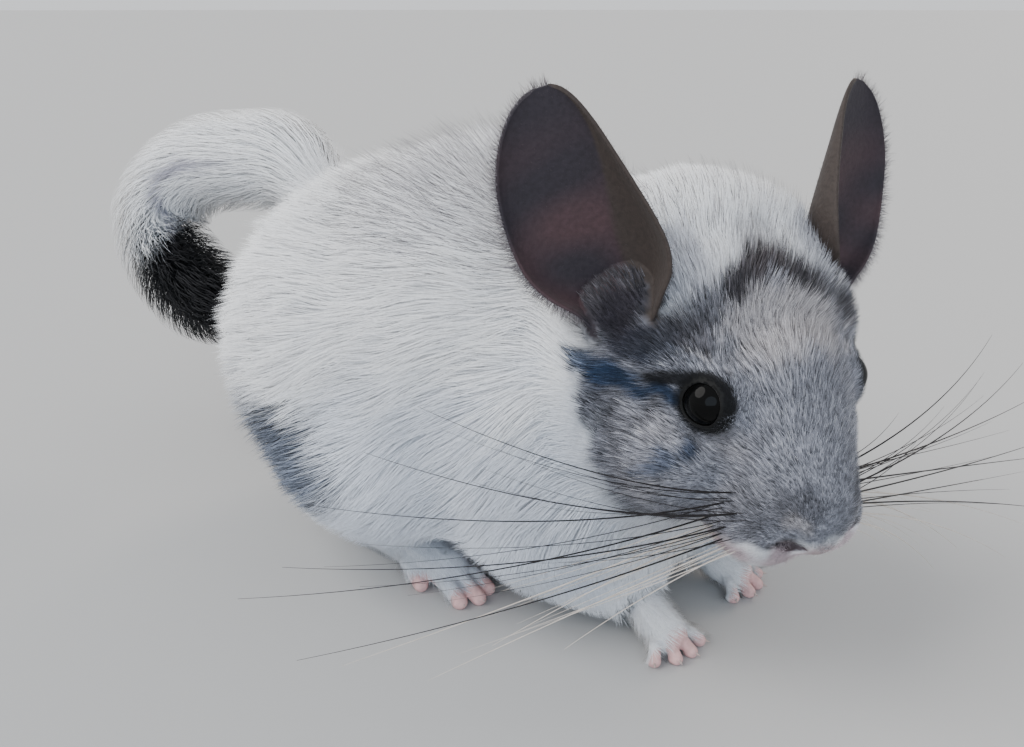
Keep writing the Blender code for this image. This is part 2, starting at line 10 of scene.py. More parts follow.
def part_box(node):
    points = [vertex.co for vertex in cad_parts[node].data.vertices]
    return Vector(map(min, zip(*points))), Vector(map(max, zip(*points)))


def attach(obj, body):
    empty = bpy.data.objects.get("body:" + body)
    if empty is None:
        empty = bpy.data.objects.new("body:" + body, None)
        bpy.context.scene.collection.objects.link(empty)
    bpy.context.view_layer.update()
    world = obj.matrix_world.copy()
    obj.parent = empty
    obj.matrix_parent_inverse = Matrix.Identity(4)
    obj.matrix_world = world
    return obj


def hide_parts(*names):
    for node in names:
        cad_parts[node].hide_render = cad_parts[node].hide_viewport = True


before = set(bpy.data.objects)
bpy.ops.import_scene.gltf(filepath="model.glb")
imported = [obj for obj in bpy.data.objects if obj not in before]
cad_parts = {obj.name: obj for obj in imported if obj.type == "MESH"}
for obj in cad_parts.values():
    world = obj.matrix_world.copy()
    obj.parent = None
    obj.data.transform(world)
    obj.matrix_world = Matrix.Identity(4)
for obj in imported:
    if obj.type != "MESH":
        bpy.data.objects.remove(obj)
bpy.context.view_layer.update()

# Where the animal is
# The head and body keep the frame of the solids. The head has its own axes: x to its left, y backwards and
# z up, from the point between the eyes. The model's own origin lies by the toes of the forepaws.
def middle_of(node):
    low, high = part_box(node)
    return (low + high) / 2


right_eye = middle_of("eye_right")
left_eye = middle_of("eye_left")
between_eyes = (right_eye + left_eye) / 2
HEAD_CENTRE = Vector((-0.0035, -0.0139, 0.0656))
HEAD_TURN = math.radians(-20)
HEAD_DROP = math.radians(31)
HEAD_TILT = math.radians(1)
EYE_SPACING = 0.0350
EYE_RADIUS = 0.0052
SIDES = {"right": -1, "left": 1}
BODY = Matrix.Translation(between_eyes - HEAD_CENTRE)
HEAD = (
    Matrix.Translation(between_eyes)
    @ Matrix.Rotation(HEAD_TURN, 4, "Z")
    @ Matrix.Rotation(HEAD_DROP, 4, "X")
    @ Matrix.Rotation(HEAD_TILT, 4, "Y")
)

# The camera
# It looks down on the animal from its right front, close to the face, as the photograph was taken.
CAMERA_FROM_EYE = Vector((-0.1620, -0.0979, 0.0731))
CAMERA_TILT = math.radians(70)
CAMERA_TURN = math.radians(-47)
CAMERA_LENS = 35.5
camera = bpy.data.objects.new("camera", bpy.data.cameras.new("camera"))
camera.data.sensor_width = 36.0
camera.data.lens = CAMERA_LENS
camera.data.clip_start = 0.01
camera.location = right_eye + CAMERA_FROM_EYE
camera.rotation_euler = (CAMERA_TILT, 0, CAMERA_TURN)
bpy.context.scene.collection.objects.link(camera)
bpy.context.scene.camera = camera

# The studio
# A plain pale floor under an even, pale sky, with three soft suns: a window behind on the left, a cool fill
# from the front left and a weak warm one from the right.
FLOOR_TONE = (0.42, 0.42, 0.42, 1.0)
FLOOR_RADIUS = 40.0
SKY_TONE = (0.95, 0.97, 1.0, 1.0)
SKY_STRENGTH = 0.98


def add_sun(name, place, strength, tone, spread):
    """A soft sun that shines from the given place towards the animal."""
    lamp = bpy.data.lights.new(name, "SUN")
    lamp.energy = strength
    lamp.angle = math.radians(spread)
    lamp.color = tone
    made = bpy.data.objects.new(name, lamp)
    made.rotation_euler = (-Vector(place)).to_track_quat("-Z", "Y").to_euler()
    bpy.context.scene.collection.objects.link(made)


def set_inputs(node, values):
    """Sets the inputs of a shader node by their names."""
    for name, value in values.items():
        node.inputs[name].default_value = value


def finish_of(name, values):
    """A material whose shader has the given values."""
    made = bpy.data.materials.new(name)
    made.use_nodes = True
    set_inputs(made.node_tree.nodes["Principled BSDF"], values)
    return made


def add_piece(name, shape):
    """An object from a bmesh, which is used up."""
    mesh = bpy.data.meshes.new(name)
    shape.to_mesh(mesh)
    shape.free()
    made = bpy.data.objects.new(name, mesh)
    bpy.context.scene.collection.objects.link(made)
    return made


add_sun("window", (-0.75, 0.55, 1.0), 2.6, (1.0, 0.98, 0.95), 46)
add_sun("front_fill", (-1.0, -1.0, 0.45), 1.40, (0.66, 0.82, 1.0), 50)
add_sun("rim", (1.0, 0.10, 0.60), 0.80, (1.0, 0.86, 0.72), 20)

surround = bpy.data.worlds.new("surround")
surround.use_nodes = True
set_inputs(surround.node_tree.nodes["Background"], {"Color": SKY_TONE, "Strength": SKY_STRENGTH})
bpy.context.scene.world = surround

floor_shape = bmesh.new()
bmesh.ops.create_circle(floor_shape, cap_ends=True, segments=96, radius=FLOOR_RADIUS)
floor = add_piece("floor", floor_shape)
floor.data.materials.append(finish_of("pale_floor", {"Base Color": FLOOR_TONE, "Roughness": 0.75}))

# The skin
# One soft skin from the nose to the end of the tail bone. It lies inside the solids by the depth of the coat,
# and carries the same markings and painted shade as the coat. The cups of the ears, the toes and the lids
# grow out of it.
FLESH = ["neck", "torso", "rump", "thigh_left", "thigh_right", "foreleg_left", "foreleg_right"]
OVERLAP = 0.00025
FLESH_VOXEL = 0.0009
SKIN_VOXEL = 0.0008
FOOT_VOXEL = 0.00032
MOUTH_VOXEL = 0.00025
SKIN_KEPT = 0.38
PAW_KEPT = 0.50
FOOT_KEPT = 0.20


def smoothstep(low, high, value):
    share = np.clip((value - low) / (high - low), 0.0, 1.0)
    return share * share * (3.0 - 2.0 * share)


def apply_modifier(piece, kind, **values):
    """Shapes a piece by one modifier with the given values, and applies it."""
    step = piece.modifiers.new(kind.title(), kind)
    for name, value in values.items():
        setattr(step, name, value)
    graph = bpy.context.evaluated_depsgraph_get()
    mesh = bpy.data.meshes.new_from_object(piece.evaluated_get(graph))
    piece.modifiers.clear()
    piece.data = mesh


def rows_of(layer, name, columns=3, kind=np.float32):
    """One value of every item of a mesh's layer, with a row for each."""
    found = np.empty(len(layer) * columns, kind)
    layer.foreach_get(name, found)
    return found.reshape(-1, columns)


def vertices_of(mesh):
    return rows_of(mesh.vertices, "co").astype(float)


def normals_of(mesh):
    return rows_of(mesh.vertex_normals, "vector").astype(float)


def in_axes(points, axes):
    """World points in the given axes, in millimetres."""
    turn = np.array(axes.inverted())
    return (points @ turn[:3, :3].T + turn[:3, 3]) * 1000.0


def ball(shape, centre, radii, turn=None, steps=3):
    place = Matrix.Translation(Vector(centre)) @ (turn or Matrix.Identity(4))
    size = Matrix.Diagonal((*radii, 1.0))
    bmesh.ops.create_icosphere(shape, subdivisions=steps, radius=1.0, matrix=place @ size)


def limb(shape, points, radii, spacing=0.3, steps=2):
    """A chain of balls through the points, close enough to melt into one limb."""
    for (start, end), (first, last) in zip(zip(points, points[1:]), zip(radii, radii[1:])):
        start, end = Vector(start), Vector(end)
        count = max(2, math.ceil((end - start).length / (spacing * min(first, last))) + 1)
        for step in range(count):
            share = step / (count - 1)
            radius = first + (last - first) * share
            ball(shape, start.lerp(end, share), (radius,) * 3, steps=steps)


def keep_largest(mesh):
    """Leaves only the surface with the most faces."""
    shape = bmesh.new()
    shape.from_mesh(mesh)
    left = set(shape.faces)
    islands = []
    while left:
        queue = [left.pop()]
        island = []
        while queue:
            face = queue.pop()
            island.append(face)
            for edge in face.edges:
                for other in edge.link_faces:
                    if other in left:
                        left.remove(other)
                        queue.append(other)
        islands.append(island)
    islands.sort(key=len)
    spare = [face for island in islands[:-1] for face in island]
    bmesh.ops.delete(shape, geom=spare, context="FACES")
    shape.to_mesh(mesh)
    shape.free()


def melt(piece, voxel, rounds):
    """Melts overlapping closed shapes into one soft surface."""
    apply_modifier(piece, "REMESH", mode="VOXEL", voxel_size=voxel)
    keep_largest(piece.data)
    apply_modifier(piece, "SMOOTH", factor=0.5, iterations=rounds)


def sink(piece, depths):
    """Moves the surface inwards, each vertex by its own depth in metres."""
    moved = vertices_of(piece.data) - normals_of(piece.data) * depths[:, None]
    piece.data.vertices.foreach_set("co", moved.astype(np.float32).ravel())
    piece.data.update()


def fuse(piece, other, operation="UNION"):
    """Joins a closed piece to another, or cuts it out, and removes it."""
    apply_modifier(piece, "BOOLEAN", solver="MANIFOLD", operation=operation, object=other)
    bpy.data.objects.remove(other)


def face_place(points):
    """Places in the head's own millimetres, folded on to its left side, and how far each is from the eye."""
    place = in_axes(points, HEAD)
    place[:, 0] = np.abs(place[:, 0])
    return place, np.linalg.norm(place - (EYE_SPACING * 500, 0, 0), axis=1)


def head_share(points):
    """How much a place belongs to the head, from 0 to 1."""
    place = in_axes(points, HEAD)
    far = np.linalg.norm((place - (0, 12, -8)) / (41, 52, 37), axis=1)
    return 1.0 - smoothstep(0.90, 1.05, far)


def make_trunk_flesh():
    """The solids of the trunk, each swollen a little so that they overlap."""
    for name in FLESH:
        solid = bmesh.new()
        solid.from_mesh(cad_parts[name].data)
        bmesh.ops.remove_doubles(solid, verts=solid.verts, dist=0.00001)
        solid.normal_update()
        for vertex in solid.verts:
            vertex.co += vertex.normal * OVERLAP
        yield solid


def make_head_flesh():
    shape = bmesh.new()
    ball(shape, (0, 0.029, -0.005), (0.0370, 0.035, 0.026), steps=4)
    ball(shape, (0, 0.036, 0.000), (0.0330, 0.024, 0.0235), steps=4)
    limb(shape, [(0, 0.004, -0.005), (0, -0.0190, -0.0115)], [0.0198, 0.0115], steps=3)
    for side in SIDES.values():
        ball(shape, (side * 0.0165, 0.012, -0.020), (0.0170, 0.026, 0.018), steps=4)
        ball(shape, (side * 0.0275, 0.027, -0.0020), (0.0110, 0.0130, 0.0110), steps=4)
        ball(shape, (side * 0.0141, 0.0030, -0.0005), (0.0086, 0.0115, 0.0094), steps=4)
        ball(shape, (side * 0.0068, -0.0170, -0.0186), (0.0114, 0.0122, 0.0104), steps=4)
    ball(shape, (0, -0.0272, -0.0148), (0.0060, 0.0044, 0.0046), steps=4)
    ball(shape, (0, -0.012, -0.0280), (0.009, 0.011, 0.007), steps=4)
    shape.transform(HEAD)
    return shape


def coat_depth(points):
    """How deep the skin lies under the tips of the coat, in metres."""
    place, from_eye = face_place(points)
    on_face = 0.0007 + 0.0022 * smoothstep(-24, 24, place[:, 1])
    on_face *= 0.45 + 0.55 * smoothstep(6, 11, from_eye)
    on_body = 0.0012 + 0.0034 * smoothstep(0.006, 0.045, points[:, 2])
    share = head_share(points)
    return on_body + (on_face - on_body) * share


# The tail bone leaves the rump, arches back and to the right, and hooks down under itself
TAIL_BENDS = [
    Vector(bend) for bend in (
        (0.0040, 0.1380, 0.0760),
        (0.0045, 0.1577, 0.0920),
        (-0.0007, 0.1773, 0.0925),
        (-0.0051, 0.1961, 0.0899),
        (-0.0107, 0.2075, 0.0824),
        (-0.0156, 0.2108, 0.0729),
        (-0.0179, 0.2044, 0.0622),
        (-0.0193, 0.1896, 0.0548),
        (-0.0202, 0.1723, 0.0499),
        (-0.0200, 0.1590, 0.0480),
    )
]
TAIL_STEPS = 90
PLUME_RADIUS = 0.0165
TAIL_BONE = 0.0070


def on_curve(before, start, end, after, t):
    """The value a share t of the way from start to end, on a smooth curve through all four."""
    return (
        start
        + ((end - before) * t + (before * 2 - start * 5 + end * 4 - after) * t * t) / 2
        + (start * 3 - before - end * 3 + after) * t * t * t / 2
    )


def smooth_path(points, count):
    """Points along one smooth curve through the given ones."""
    ends = [points[0] * 2 - points[1], *points, points[-1] * 2 - points[-2]]
    spans = len(points) - 1
    found = []
    for step in range(count):
        place = step / (count - 1) * spans
        span = min(int(place), spans - 1)
        found.append(on_curve(*ends[span : span + 4], place - span))
    return found


tail_line = [BODY @ point for point in smooth_path(TAIL_BENDS, TAIL_STEPS)]


def make_tail_flesh():
    shape = bmesh.new()
    root = tail_line[0] + (tail_line[0] - tail_line[4]) * 2.0
    stations = [root, *tail_line[: int(TAIL_STEPS * 0.94) : 3]]
    girths = [TAIL_BONE * (1.25 - 0.75 * index / len(stations)) for index in range(len(stations))]
    limb(shape, stations, girths)
    return shape


# Forepaw: a small furred palm and four stubby toes with round tips
FOREPAW_TIPS = {"right": (-0.0150, -0.0045), "left": (0.0210, -0.0015)}
FOREPAW_TURN = {"right": math.radians(-12), "left": math.radians(6)}
HINDFOOT_SPREAD = 0.0300
HINDFOOT_TIPS = 0.0450
HINDFOOT_LENGTH = 0.0520


def forepaw_toe(toe):
    """The root, knuckle and tip of one toe of a forepaw."""
    spread = (toe - 1.5) / 1.5
    root = Vector((0.0036 * spread, 0.0075, 0.0040))
    tip = Vector((0.0070 * spread, 0.0012 + 0.0024 * spread * spread, 0.0014))
    return root, root.lerp(tip, 0.5) + Vector((0, 0, 0.0008)), tip


def hindfoot_toe(toe):
    """The root, knuckle and tip of one front toe of a hind foot."""
    spread = toe - 1
    root = Vector((0.0034 * spread, 0.014, 0.0048))
    tip = Vector((0.0046 * spread, 0.0022 + 0.0018 * abs(spread), 0.0020))
    return root, root.lerp(tip, 0.5) + Vector((0, 0, 0.0008)), tip


def forepaw_place(label):
    across, tips = FOREPAW_TIPS[label]
    turn = Matrix.Rotation(FOREPAW_TURN[label], 4, "Z")
    return BODY @ Matrix.Translation((across, tips, -0.0002)) @ turn


def hindfoot_place(side):
    turn = Matrix.Rotation(side * math.radians(4), 4, "Z")
    return BODY @ Matrix.Translation((side * HINDFOOT_SPREAD, HINDFOOT_TIPS, -0.0006)) @ turn


def flatten_sole(piece):
    """Cuts a foot flat where it stands on the floor."""
    shape = bmesh.new()
    shape.from_mesh(piece.data)
    geometry = [*shape.verts, *shape.edges, *shape.faces]
    cut = bmesh.ops.bisect_plane(
        shape, geom=geometry, plane_co=(0, 0, 0.00005), plane_no=(0, 0, 1), clear_inner=True
    )
    rim = [item for item in cut["geom_cut"] if isinstance(item, bmesh.types.BMEdge)]
    bmesh.ops.holes_fill(shape, edges=rim)
    bmesh.ops.triangulate(shape, faces=shape.faces)
    shape.to_mesh(piece.data)
    shape.free()


def make_forepaw_flesh(label):
    shape = bmesh.new()
    limb(shape, [(0, 0.0210, 0.0110), (0, 0.0110, 0.0056), (0, 0.0070, 0.0042)], [0.0034, 0.0050, 0.0047])
    for toe in range(4):
        root, knuckle, tip = forepaw_toe(toe)
        limb(shape, [root, knuckle, tip], [0.0015, 0.0014, 0.0015], spacing=0.2, steps=3)
        ball(shape, tip + Vector((0, 0.0004, -0.0002)), (0.0016, 0.0018, 0.0013))
    shape.transform(forepaw_place(label))
    paw = add_piece("paw_flesh", shape)
    melt(paw, FOOT_VOXEL, 3)
    apply_modifier(paw, "DECIMATE", ratio=PAW_KEPT)
    flatten_sole(paw)
    return paw


def make_hindfoot_flesh(side):
    shape = bmesh.new()
    heel = HINDFOOT_LENGTH
    limb(shape, [(0, 0.014, 0.0056), (0, heel * 0.6, 0.0070), (0, heel, 0.0080)], [0.0056, 0.0066, 0.0078])
    limb(shape, [(0, heel, 0.0080), (0, heel * 0.85, 0.0240)], [0.0078, 0.0080])
    limb(shape, [(0, heel * 0.6, 0.0070), (0, heel * 0.6, 0.0240)], [0.0066, 0.0080])
    for toe in range(3):
        root, knuckle, tip = hindfoot_toe(toe)
        limb(shape, [root, knuckle, tip], [0.0024, 0.0021, 0.0020], spacing=0.2, steps=3)
    outer_root = Vector((side * 0.0050, 0.024, 0.0050))
    outer_tip = Vector((side * 0.0068, 0.0165, 0.0021))
    limb(shape, [outer_root, outer_tip], [0.0024, 0.0019], spacing=0.2, steps=3)
    shape.transform(hindfoot_place(side))
    foot = add_piece("foot_flesh", shape)
    melt(foot, FOOT_VOXEL * 1.3, 3)
    apply_modifier(foot, "DECIMATE", ratio=FOOT_KEPT)
    flatten_sole(foot)
    return foot


# An ear, by height over its notch: how far its outer and inner edges stand to each side of its middle
# line, and how far they come forwards. It is a thin cup of skin, open to the front and the side.
EAR_LENGTH = 0.0455
EAR_ROWS = [
    (-0.004, 0.0030, 0.0085, 0.0080, 0.0120),
    (0.001, 0.0055, 0.0115, 0.0086, 0.0140),
    (0.005, 0.0095, 0.0142, 0.0080, 0.0146),
    (0.010, 0.0128, 0.0150, 0.0070, 0.0134),
    (0.016, 0.0143, 0.0140, 0.0058, 0.0110),
    (0.023, 0.0146, 0.0120, 0.0046, 0.0082),
    (0.030, 0.0138, 0.0098, 0.0036, 0.0056),
    (0.036, 0.0116, 0.0078, 0.0026, 0.0034),
    (0.041, 0.0084, 0.0056, 0.0016, 0.0018),
    (0.0440, 0.0050, 0.0034, 0.0008, 0.0008),
    (0.0455, 0.0014, 0.0010, 0.0000, 0.0000),
]
EAR_NOTCH = Vector((0.0325, 0.0214, 0.0052))
EAR_RISE = Vector((0.188, 0.722, 0.667))
EAR_OPENING = Vector((0.534, -0.641, 0.543))
EAR_THICKNESS = 0.0009
EAR_TURN = math.radians(80)
EAR_SWING = {"right": 0.0, "left": math.radians(-17)}


def ear_axes(label):
    """The notch of an ear, and the directions in which it rises, spreads outwards and opens."""
    mirror = Vector((SIDES[label], 1, 1))
    rise = (EAR_RISE * mirror).normalized()
    opening = EAR_OPENING * mirror
    opening = (opening - rise * opening.dot(rise)).normalized()
    opening.rotate(Matrix.Rotation(EAR_SWING[label], 3, rise))
    return EAR_NOTCH * mirror, rise, rise.cross(opening) * SIDES[label], opening


def ear_point(label, share, along):
    """A point of the ear's middle sheet: share runs from the inner edge, -1, to the outer edge, 1."""
    notch, rise, outward, opening = ear_axes(label)
    place = along * (len(EAR_ROWS) - 1)
    row = min(int(place), len(EAR_ROWS) - 2)
    rows = [EAR_ROWS[min(max(row + step, 0), len(EAR_ROWS) - 1)] for step in (-1, 0, 1, 2)]
    height, outer, inner, outer_forward, inner_forward = (
        on_curve(*column, place - row) for column in zip(*rows)
    )
    turn = EAR_TURN * abs(share)
    edge, forward = (outer, outer_forward) if share > 0 else (-inner, inner_forward)
    across = edge * math.sin(turn) ** 0.85 / math.sin(EAR_TURN) ** 0.85
    depth = forward * ((1 - math.cos(turn)) / (1 - math.cos(EAR_TURN))) ** 1.2
    depth -= 0.010 * (1 - height / EAR_LENGTH)
    return notch + rise * height + outward * across + opening * depth


def make_ear_flesh(label):
    shape = bmesh.new()
    bmesh.ops.create_grid(shape, x_segments=30, y_segments=42, size=1.0)
    for vertex in shape.verts:
        vertex.co = ear_point(label, vertex.co.x, (vertex.co.y + 1) / 2)
    bmesh.ops.recalc_face_normals(shape, faces=shape.faces)
    shape.transform(HEAD)
    ear = add_piece("ear_flesh", shape)
    apply_modifier(ear, "SOLIDIFY", thickness=EAR_THICKNESS, offset=0.0)
    apply_modifier(ear, "SUBSURF", levels=1, render_levels=1)
    return ear


# The lids: a soft ring round the front of each eyeball, looking out, forwards and a little up
LID_RADIUS = 0.0047
LID_THICKNESS = 0.00055
SOCKET_ROOM = 0.0001


def gaze_of(side):
    return Vector((side * 0.86, -0.36, 0.36)).normalized()


def make_lids(side):
    gaze = gaze_of(side)
    rise = math.sqrt(EYE_RADIUS**2 - LID_RADIUS**2)
    centre = Vector((side * EYE_SPACING / 2, 0, 0)) + gaze * rise
    shape = bmesh.new()
    bmesh.ops.create_circle(shape, segments=10, radius=LID_THICKNESS)
    shape.transform(Matrix.Translation((LID_RADIUS, 0, 0)) @ Matrix.Rotation(math.pi / 2, 4, "X"))
    bmesh.ops.spin(
        shape, geom=[*shape.verts, *shape.edges], cent=(0, 0, 0), axis=(0, 0, 1), angle=math.tau, steps=40,
        use_merge=True,
    )
    bmesh.ops.recalc_face_normals(shape, faces=shape.faces)
    shape.transform(HEAD @ Matrix.Translation(centre) @ gaze.to_track_quat("Z", "Y").to_matrix().to_4x4())
    return add_piece("lids", shape)


def joined(*shapes):
    """One piece from several bmeshes, which are used up."""
    whole = bmesh.new()
    for shape in shapes:
        mesh = bpy.data.meshes.new("part")
        shape.to_mesh(mesh)
        shape.free()
        whole.from_mesh(mesh)
        bpy.data.meshes.remove(mesh)
    return add_piece("flesh", whole)


def carve(skin, shape, voxel=None):
    """Cuts a shape in the head's own axes out of the skin, melted first where a voxel is given."""
    shape.transform(HEAD)
    cutter = add_piece("cutter", shape)
    if voxel:
        melt(cutter, voxel, 1)
    fuse(skin, cutter, "DIFFERENCE")


def carve_nose(skin):
    """Two slanting nostrils, and the cleft of the upper lip."""
    nostrils = bmesh.new()
    for side in SIDES.values():
        lean = Matrix.Rotation(side * math.radians(-6), 4, "Y")
        slant = lean @ Matrix.Rotation(side * math.radians(22), 4, "Z")
        ball(nostrils, (side * 0.0072, -0.0280, -0.0150), (0.0036, 0.0027, 0.0009), slant)
    carve(skin, nostrils)
    cleft = bmesh.new()
    ball(cleft, (0, -0.0280, -0.0195), (0.00035, 0.0040, 0.0042))
    carve(skin, cleft)


def carve_mouth(skin):
    """The line of the mouth, a groove that curves back on both sides."""
    line = [
        (0.0062 * math.sin(turn), -0.0165 - 0.0100 * math.cos(turn), -0.0245)
        for turn in np.linspace(-1.35, 1.35, 15)
    ]
    groove = bmesh.new()
    limb(groove, line, [0.0006] * len(line), spacing=0.5)
    carve(skin, groove, MOUTH_VOXEL)


def make_skin():
    flesh = joined(*make_trunk_flesh(), make_head_flesh())
    melt(flesh, FLESH_VOXEL, 8)
    sink(flesh, coat_depth(vertices_of(flesh.data)))
    sunk = bmesh.new()
    sunk.from_mesh(flesh.data)
    bpy.data.objects.remove(flesh)
    skin = joined(sunk, make_tail_flesh())
    melt(skin, SKIN_VOXEL, 4)
    apply_modifier(skin, "DECIMATE", ratio=SKIN_KEPT)
    for label, side in SIDES.items():
        fuse(skin, make_lids(side))
        socket = bmesh.new()
        ball(socket, (side * EYE_SPACING / 2, 0, 0), (EYE_RADIUS + SOCKET_ROOM,) * 3, steps=4)
        carve(skin, socket)
        fuse(skin, make_ear_flesh(label))
        fuse(skin, make_forepaw_flesh(label))
        fuse(skin, make_hindfoot_flesh(side))
    carve_nose(skin)
    carve_mouth(skin)
    keep_largest(skin.data)
    skin.name = "skin"
    return skin


skin = make_skin()

# The markings, and painted light and shade
# A white mosaic coat: a ticked grey mask with a dark arch over the forehead, dark brows, a smoky patch on
# each haunch, a sprinkling of dark hairs on the shoulders, and a black end to the white tail. Painted light
# and
# shade go with them: painted blue-grey shade on the lower flanks, a painted bluish sheen on dark streaks of
# the face, a painted lit wall and a painted glow in each ear, and painted shade in the nostrils.
WHITE = (0.865, 0.870, 0.895)
CREAM = (0.68, 0.62, 0.52)
MASK_GREY = (0.300, 0.304, 0.345)
BEIGE = (0.500, 0.470, 0.475)
SOOT = (0.050, 0.050, 0.060)
BLACK = (0.012, 0.012, 0.014)
# dark fur with a painted bluish sheen, for the blue streaks on the face
SLATE_SHEEN = (0.022, 0.050, 0.110)
NAVY = (0.034, 0.040, 0.060)
BROWN = (0.062, 0.052, 0.055)
LIP = (0.560, 0.440, 0.470)
CROWN_GREY = (0.300, 0.310, 0.370)
SMOKE = (0.095, 0.115, 0.160)
# painted shade: a cool blue-grey for the lower flanks, where less light falls
PAINTED_SHADE = (0.560, 0.640, 0.780)
EAR_TONE = (0.030, 0.025, 0.031)
# painted light: a warm reddish glow, as of light shining through the thin ear
EAR_GLOW = (0.070, 0.040, 0.044)
# painted light: a lighter brown for the inner wall of each ear's cup, which turns to the light
LIT_EAR_WALL = (0.044, 0.034, 0.030)
FUZZ = (0.034, 0.030, 0.040)
PINK = (0.640, 0.400, 0.385)
SHOULDER_GREY = (0.40, 0.39, 0.42)
SOCKET_BLACK = (0.006, 0.006, 0.006)
NOSE_ROSE = (0.230, 0.150, 0.150)
# painted shade: near black for the insides of the nostrils
NOSTRIL_SHADE = (0.03, 0.018, 0.020)

# Each patch on the face: its middle and reach in the head's own millimetres, on either side, its colour and
# how much of the coat it takes over
FACE_PATCHES = [
    ((5, 5, 14), (15, 12, 10), BEIGE, 0.80),
    ((20, 22, 16), (11, 11, 9), CROWN_GREY, 0.60),
    ((19, 42, 12), (9, 10, 8), CREAM, 0.80),
    ((2, 23, 20), (5, 5, 4), BROWN, 0.25),
    ((25.5, 0.5, -8), (7, 6, 5), BEIGE, 0.25),
    ((29, -5, -19), (5, 7, 8), BEIGE, 0.15),
    ((30, 13, 4), (10, 7, 7), NAVY, 0.88),
    ((25, 11, 7.5), (7, 5, 6), NAVY, 0.80),
    ((19.5, 8.4, 9.6), (7, 4.6, 5.5), BROWN, 0.62),
    ((32.5, 21, 7), (8.5, 7, 7), FUZZ, 0.92),
    ((36.5, 23, 1), (5, 7, 5), NAVY, 0.75),
    ((26, 18.5, 11), (5, 4.5, 6), NAVY, 0.85),
    ((34, 9, -11), (5, 8, 8), SOOT, 0.60),
    ((19, -9, -4), (8, 8, 6), BEIGE, 0.25),
    ((13.5, -20, -13), (7.5, 7, 6), SOOT, 0.60),
    ((7, -24, -7), (9, 7, 6), SOOT, 0.62),
    ((8, -27.5, -9.5), (4, 3.5, 3), BEIGE, 0.50),
]

# Each stripe on the face: the points that it runs through, its half width, its colour and strength
FACE_STRIPES = [
    (((0, 18.4, 19.3), (4, 16.8, 18.8), (8.6, 13.8, 17.1)), 5.2, BROWN, 0.95),
    (((1, 19.5, 20), (2, 24, 20.2)), 3.4, BROWN, 0.16),
    (((8.6, 13.8, 17.1), (13.4, 12.4, 15.4), (18.8, 11.2, 12.7), (26, 11.4, 7.6)), 4.8, SOOT, 0.62),
    (((33, 4, -14), (31.3, -0.5, -21.5), (30, -3, -28), (25, -6, -30), (21, -12, -23)), 2.8, SOOT, 0.50),
    # dark fur with a painted bluish sheen, in streaks behind the eye
    (((36.5, 19.5, -6.4), (34, 15, -4.6), (31, 12, -3)), 3.0, SLATE_SHEEN, 0.85),
    (((33, 14, -7), (31, 11, -5), (28.5, 8, -3.5), (25.5, 4.5, -2), (22.4, 1.4, -0.8)), 3.3, SLATE_SHEEN, 0.90),
    (((24.5, 3.5, -5), (28, 4, -9), (31, 5, -13)), 1.8, SOOT, 0.55),
    (((20, -5, -4), (20, -6, -7), (22, -6.5, -9.5)), 2.0, SOOT, 0.55),
    # dark fur with a painted bluish sheen, in a streak below the eye
    (((20, -6, -8), (24, -6, -10.5), (27, -5, -13), (29, -4, -18)), 2.2, SLATE_SHEEN, 0.60),
    (((21.5, 6.4, 7.2), (17.4, 3.4, 9), (13.5, -1.2, 9.2)), 1.5, BEIGE, 0.45),
    (((10.4, -26.7, -14.6), (7, -28, -15.2), (4, -29.4, -15.2)), 1.8, BROWN, 0.85),
    (
        ((3, -29.5, -18.2), (8, -27.5, -18.6), (13, -24.5, -19.5), (15.6, -22.5, -20.8), (18, -19, -24.5)),
        4.6, LIP, 0.92,
    ),
]

# The dark line over the eye, from behind it to its front corner
LID_LINE = (
    (27.5, 8, -1), (25, 5.1, 1.7), (22.7, 4, 3.1), (21.1, 2, 4.6), (19.6, 0.2, 5.8), (18, -2.6, 5.8),
    (17.6, -5.6, 3.6),
)


def ripple(points, size, seed):
    """A smooth random value, mostly from -1 to 1, that changes over about that distance."""
    chance = np.random.default_rng(seed)
    total = np.zeros(len(points))
    for _ in range(7):
        wave = chance.normal(size=3)
        wave *= math.tau / (size * np.linalg.norm(wave)) * chance.uniform(0.6, 1.5)
        total += np.sin(points @ wave + chance.uniform(0, math.tau))
    return total / 2.6


def mix(colours, other, share):
    return colours + (other - colours) * share[:, None]


def near(points, centre, reach):
    """1 at the centre, falling to 0 at the reach."""
    far = np.linalg.norm((points - centre) / reach, axis=1)
    return 1.0 - smoothstep(0.45, 1.0, far)


def tree_of(points):
    """A tree that finds the nearest of the points to a place."""
    tree = KDTree(len(points))
    for index, point in enumerate(points):
        tree.insert(point, index)
    tree.balance()
    return tree


tail_tree = tree_of(tail_line)


def along_tail(points):
    """The nearest station of the tail, from 0 to 1, and how far it is in metres."""
    found = [tail_tree.find(point) for point in points]
    return np.array([hit[1] for hit in found]) / (TAIL_STEPS - 1), np.array([hit[2] for hit in found])


def tail_share(points):
    """How much a place belongs to the tail, from 0 to 1."""
    _, far = along_tail(points)
    behind = in_axes(points, BODY)[:, 1]
    return smoothstep(144, 150, behind) * (far < 0.03)


# The sheets of both ears as loose points, to tell what belongs to an ear and where on it
EAR_REACH = 0.0014
ear_spots = [
    (HEAD @ ear_point(label, share, along), share, along)
    for label in SIDES
    for share in np.linspace(-1, 1, 81)
    for along in np.linspace(0, 1, 121)
]
ear_tree = tree_of([spot for spot, _, _ in ear_spots])


def on_ears(points, reach=EAR_REACH):
    """How much a place belongs to an ear, from 0 to 1, and its shares across and along the ear."""
    place = in_axes(points, HEAD)
    chosen = (np.abs(place[:, 0]) > 14) & (place[:, 1] > 4) & (place[:, 2] > -6)
    found = np.zeros((len(points), 3))
    found[:, 0] = 1.0
    for index in np.flatnonzero(chosen):
        _, nearest, far = ear_tree.find(points[index])
        found[index] = (far, *ear_spots[nearest][1:])
    return smoothstep(reach, reach - 0.0004, found[:, 0]), found[:, 1], found[:, 2]


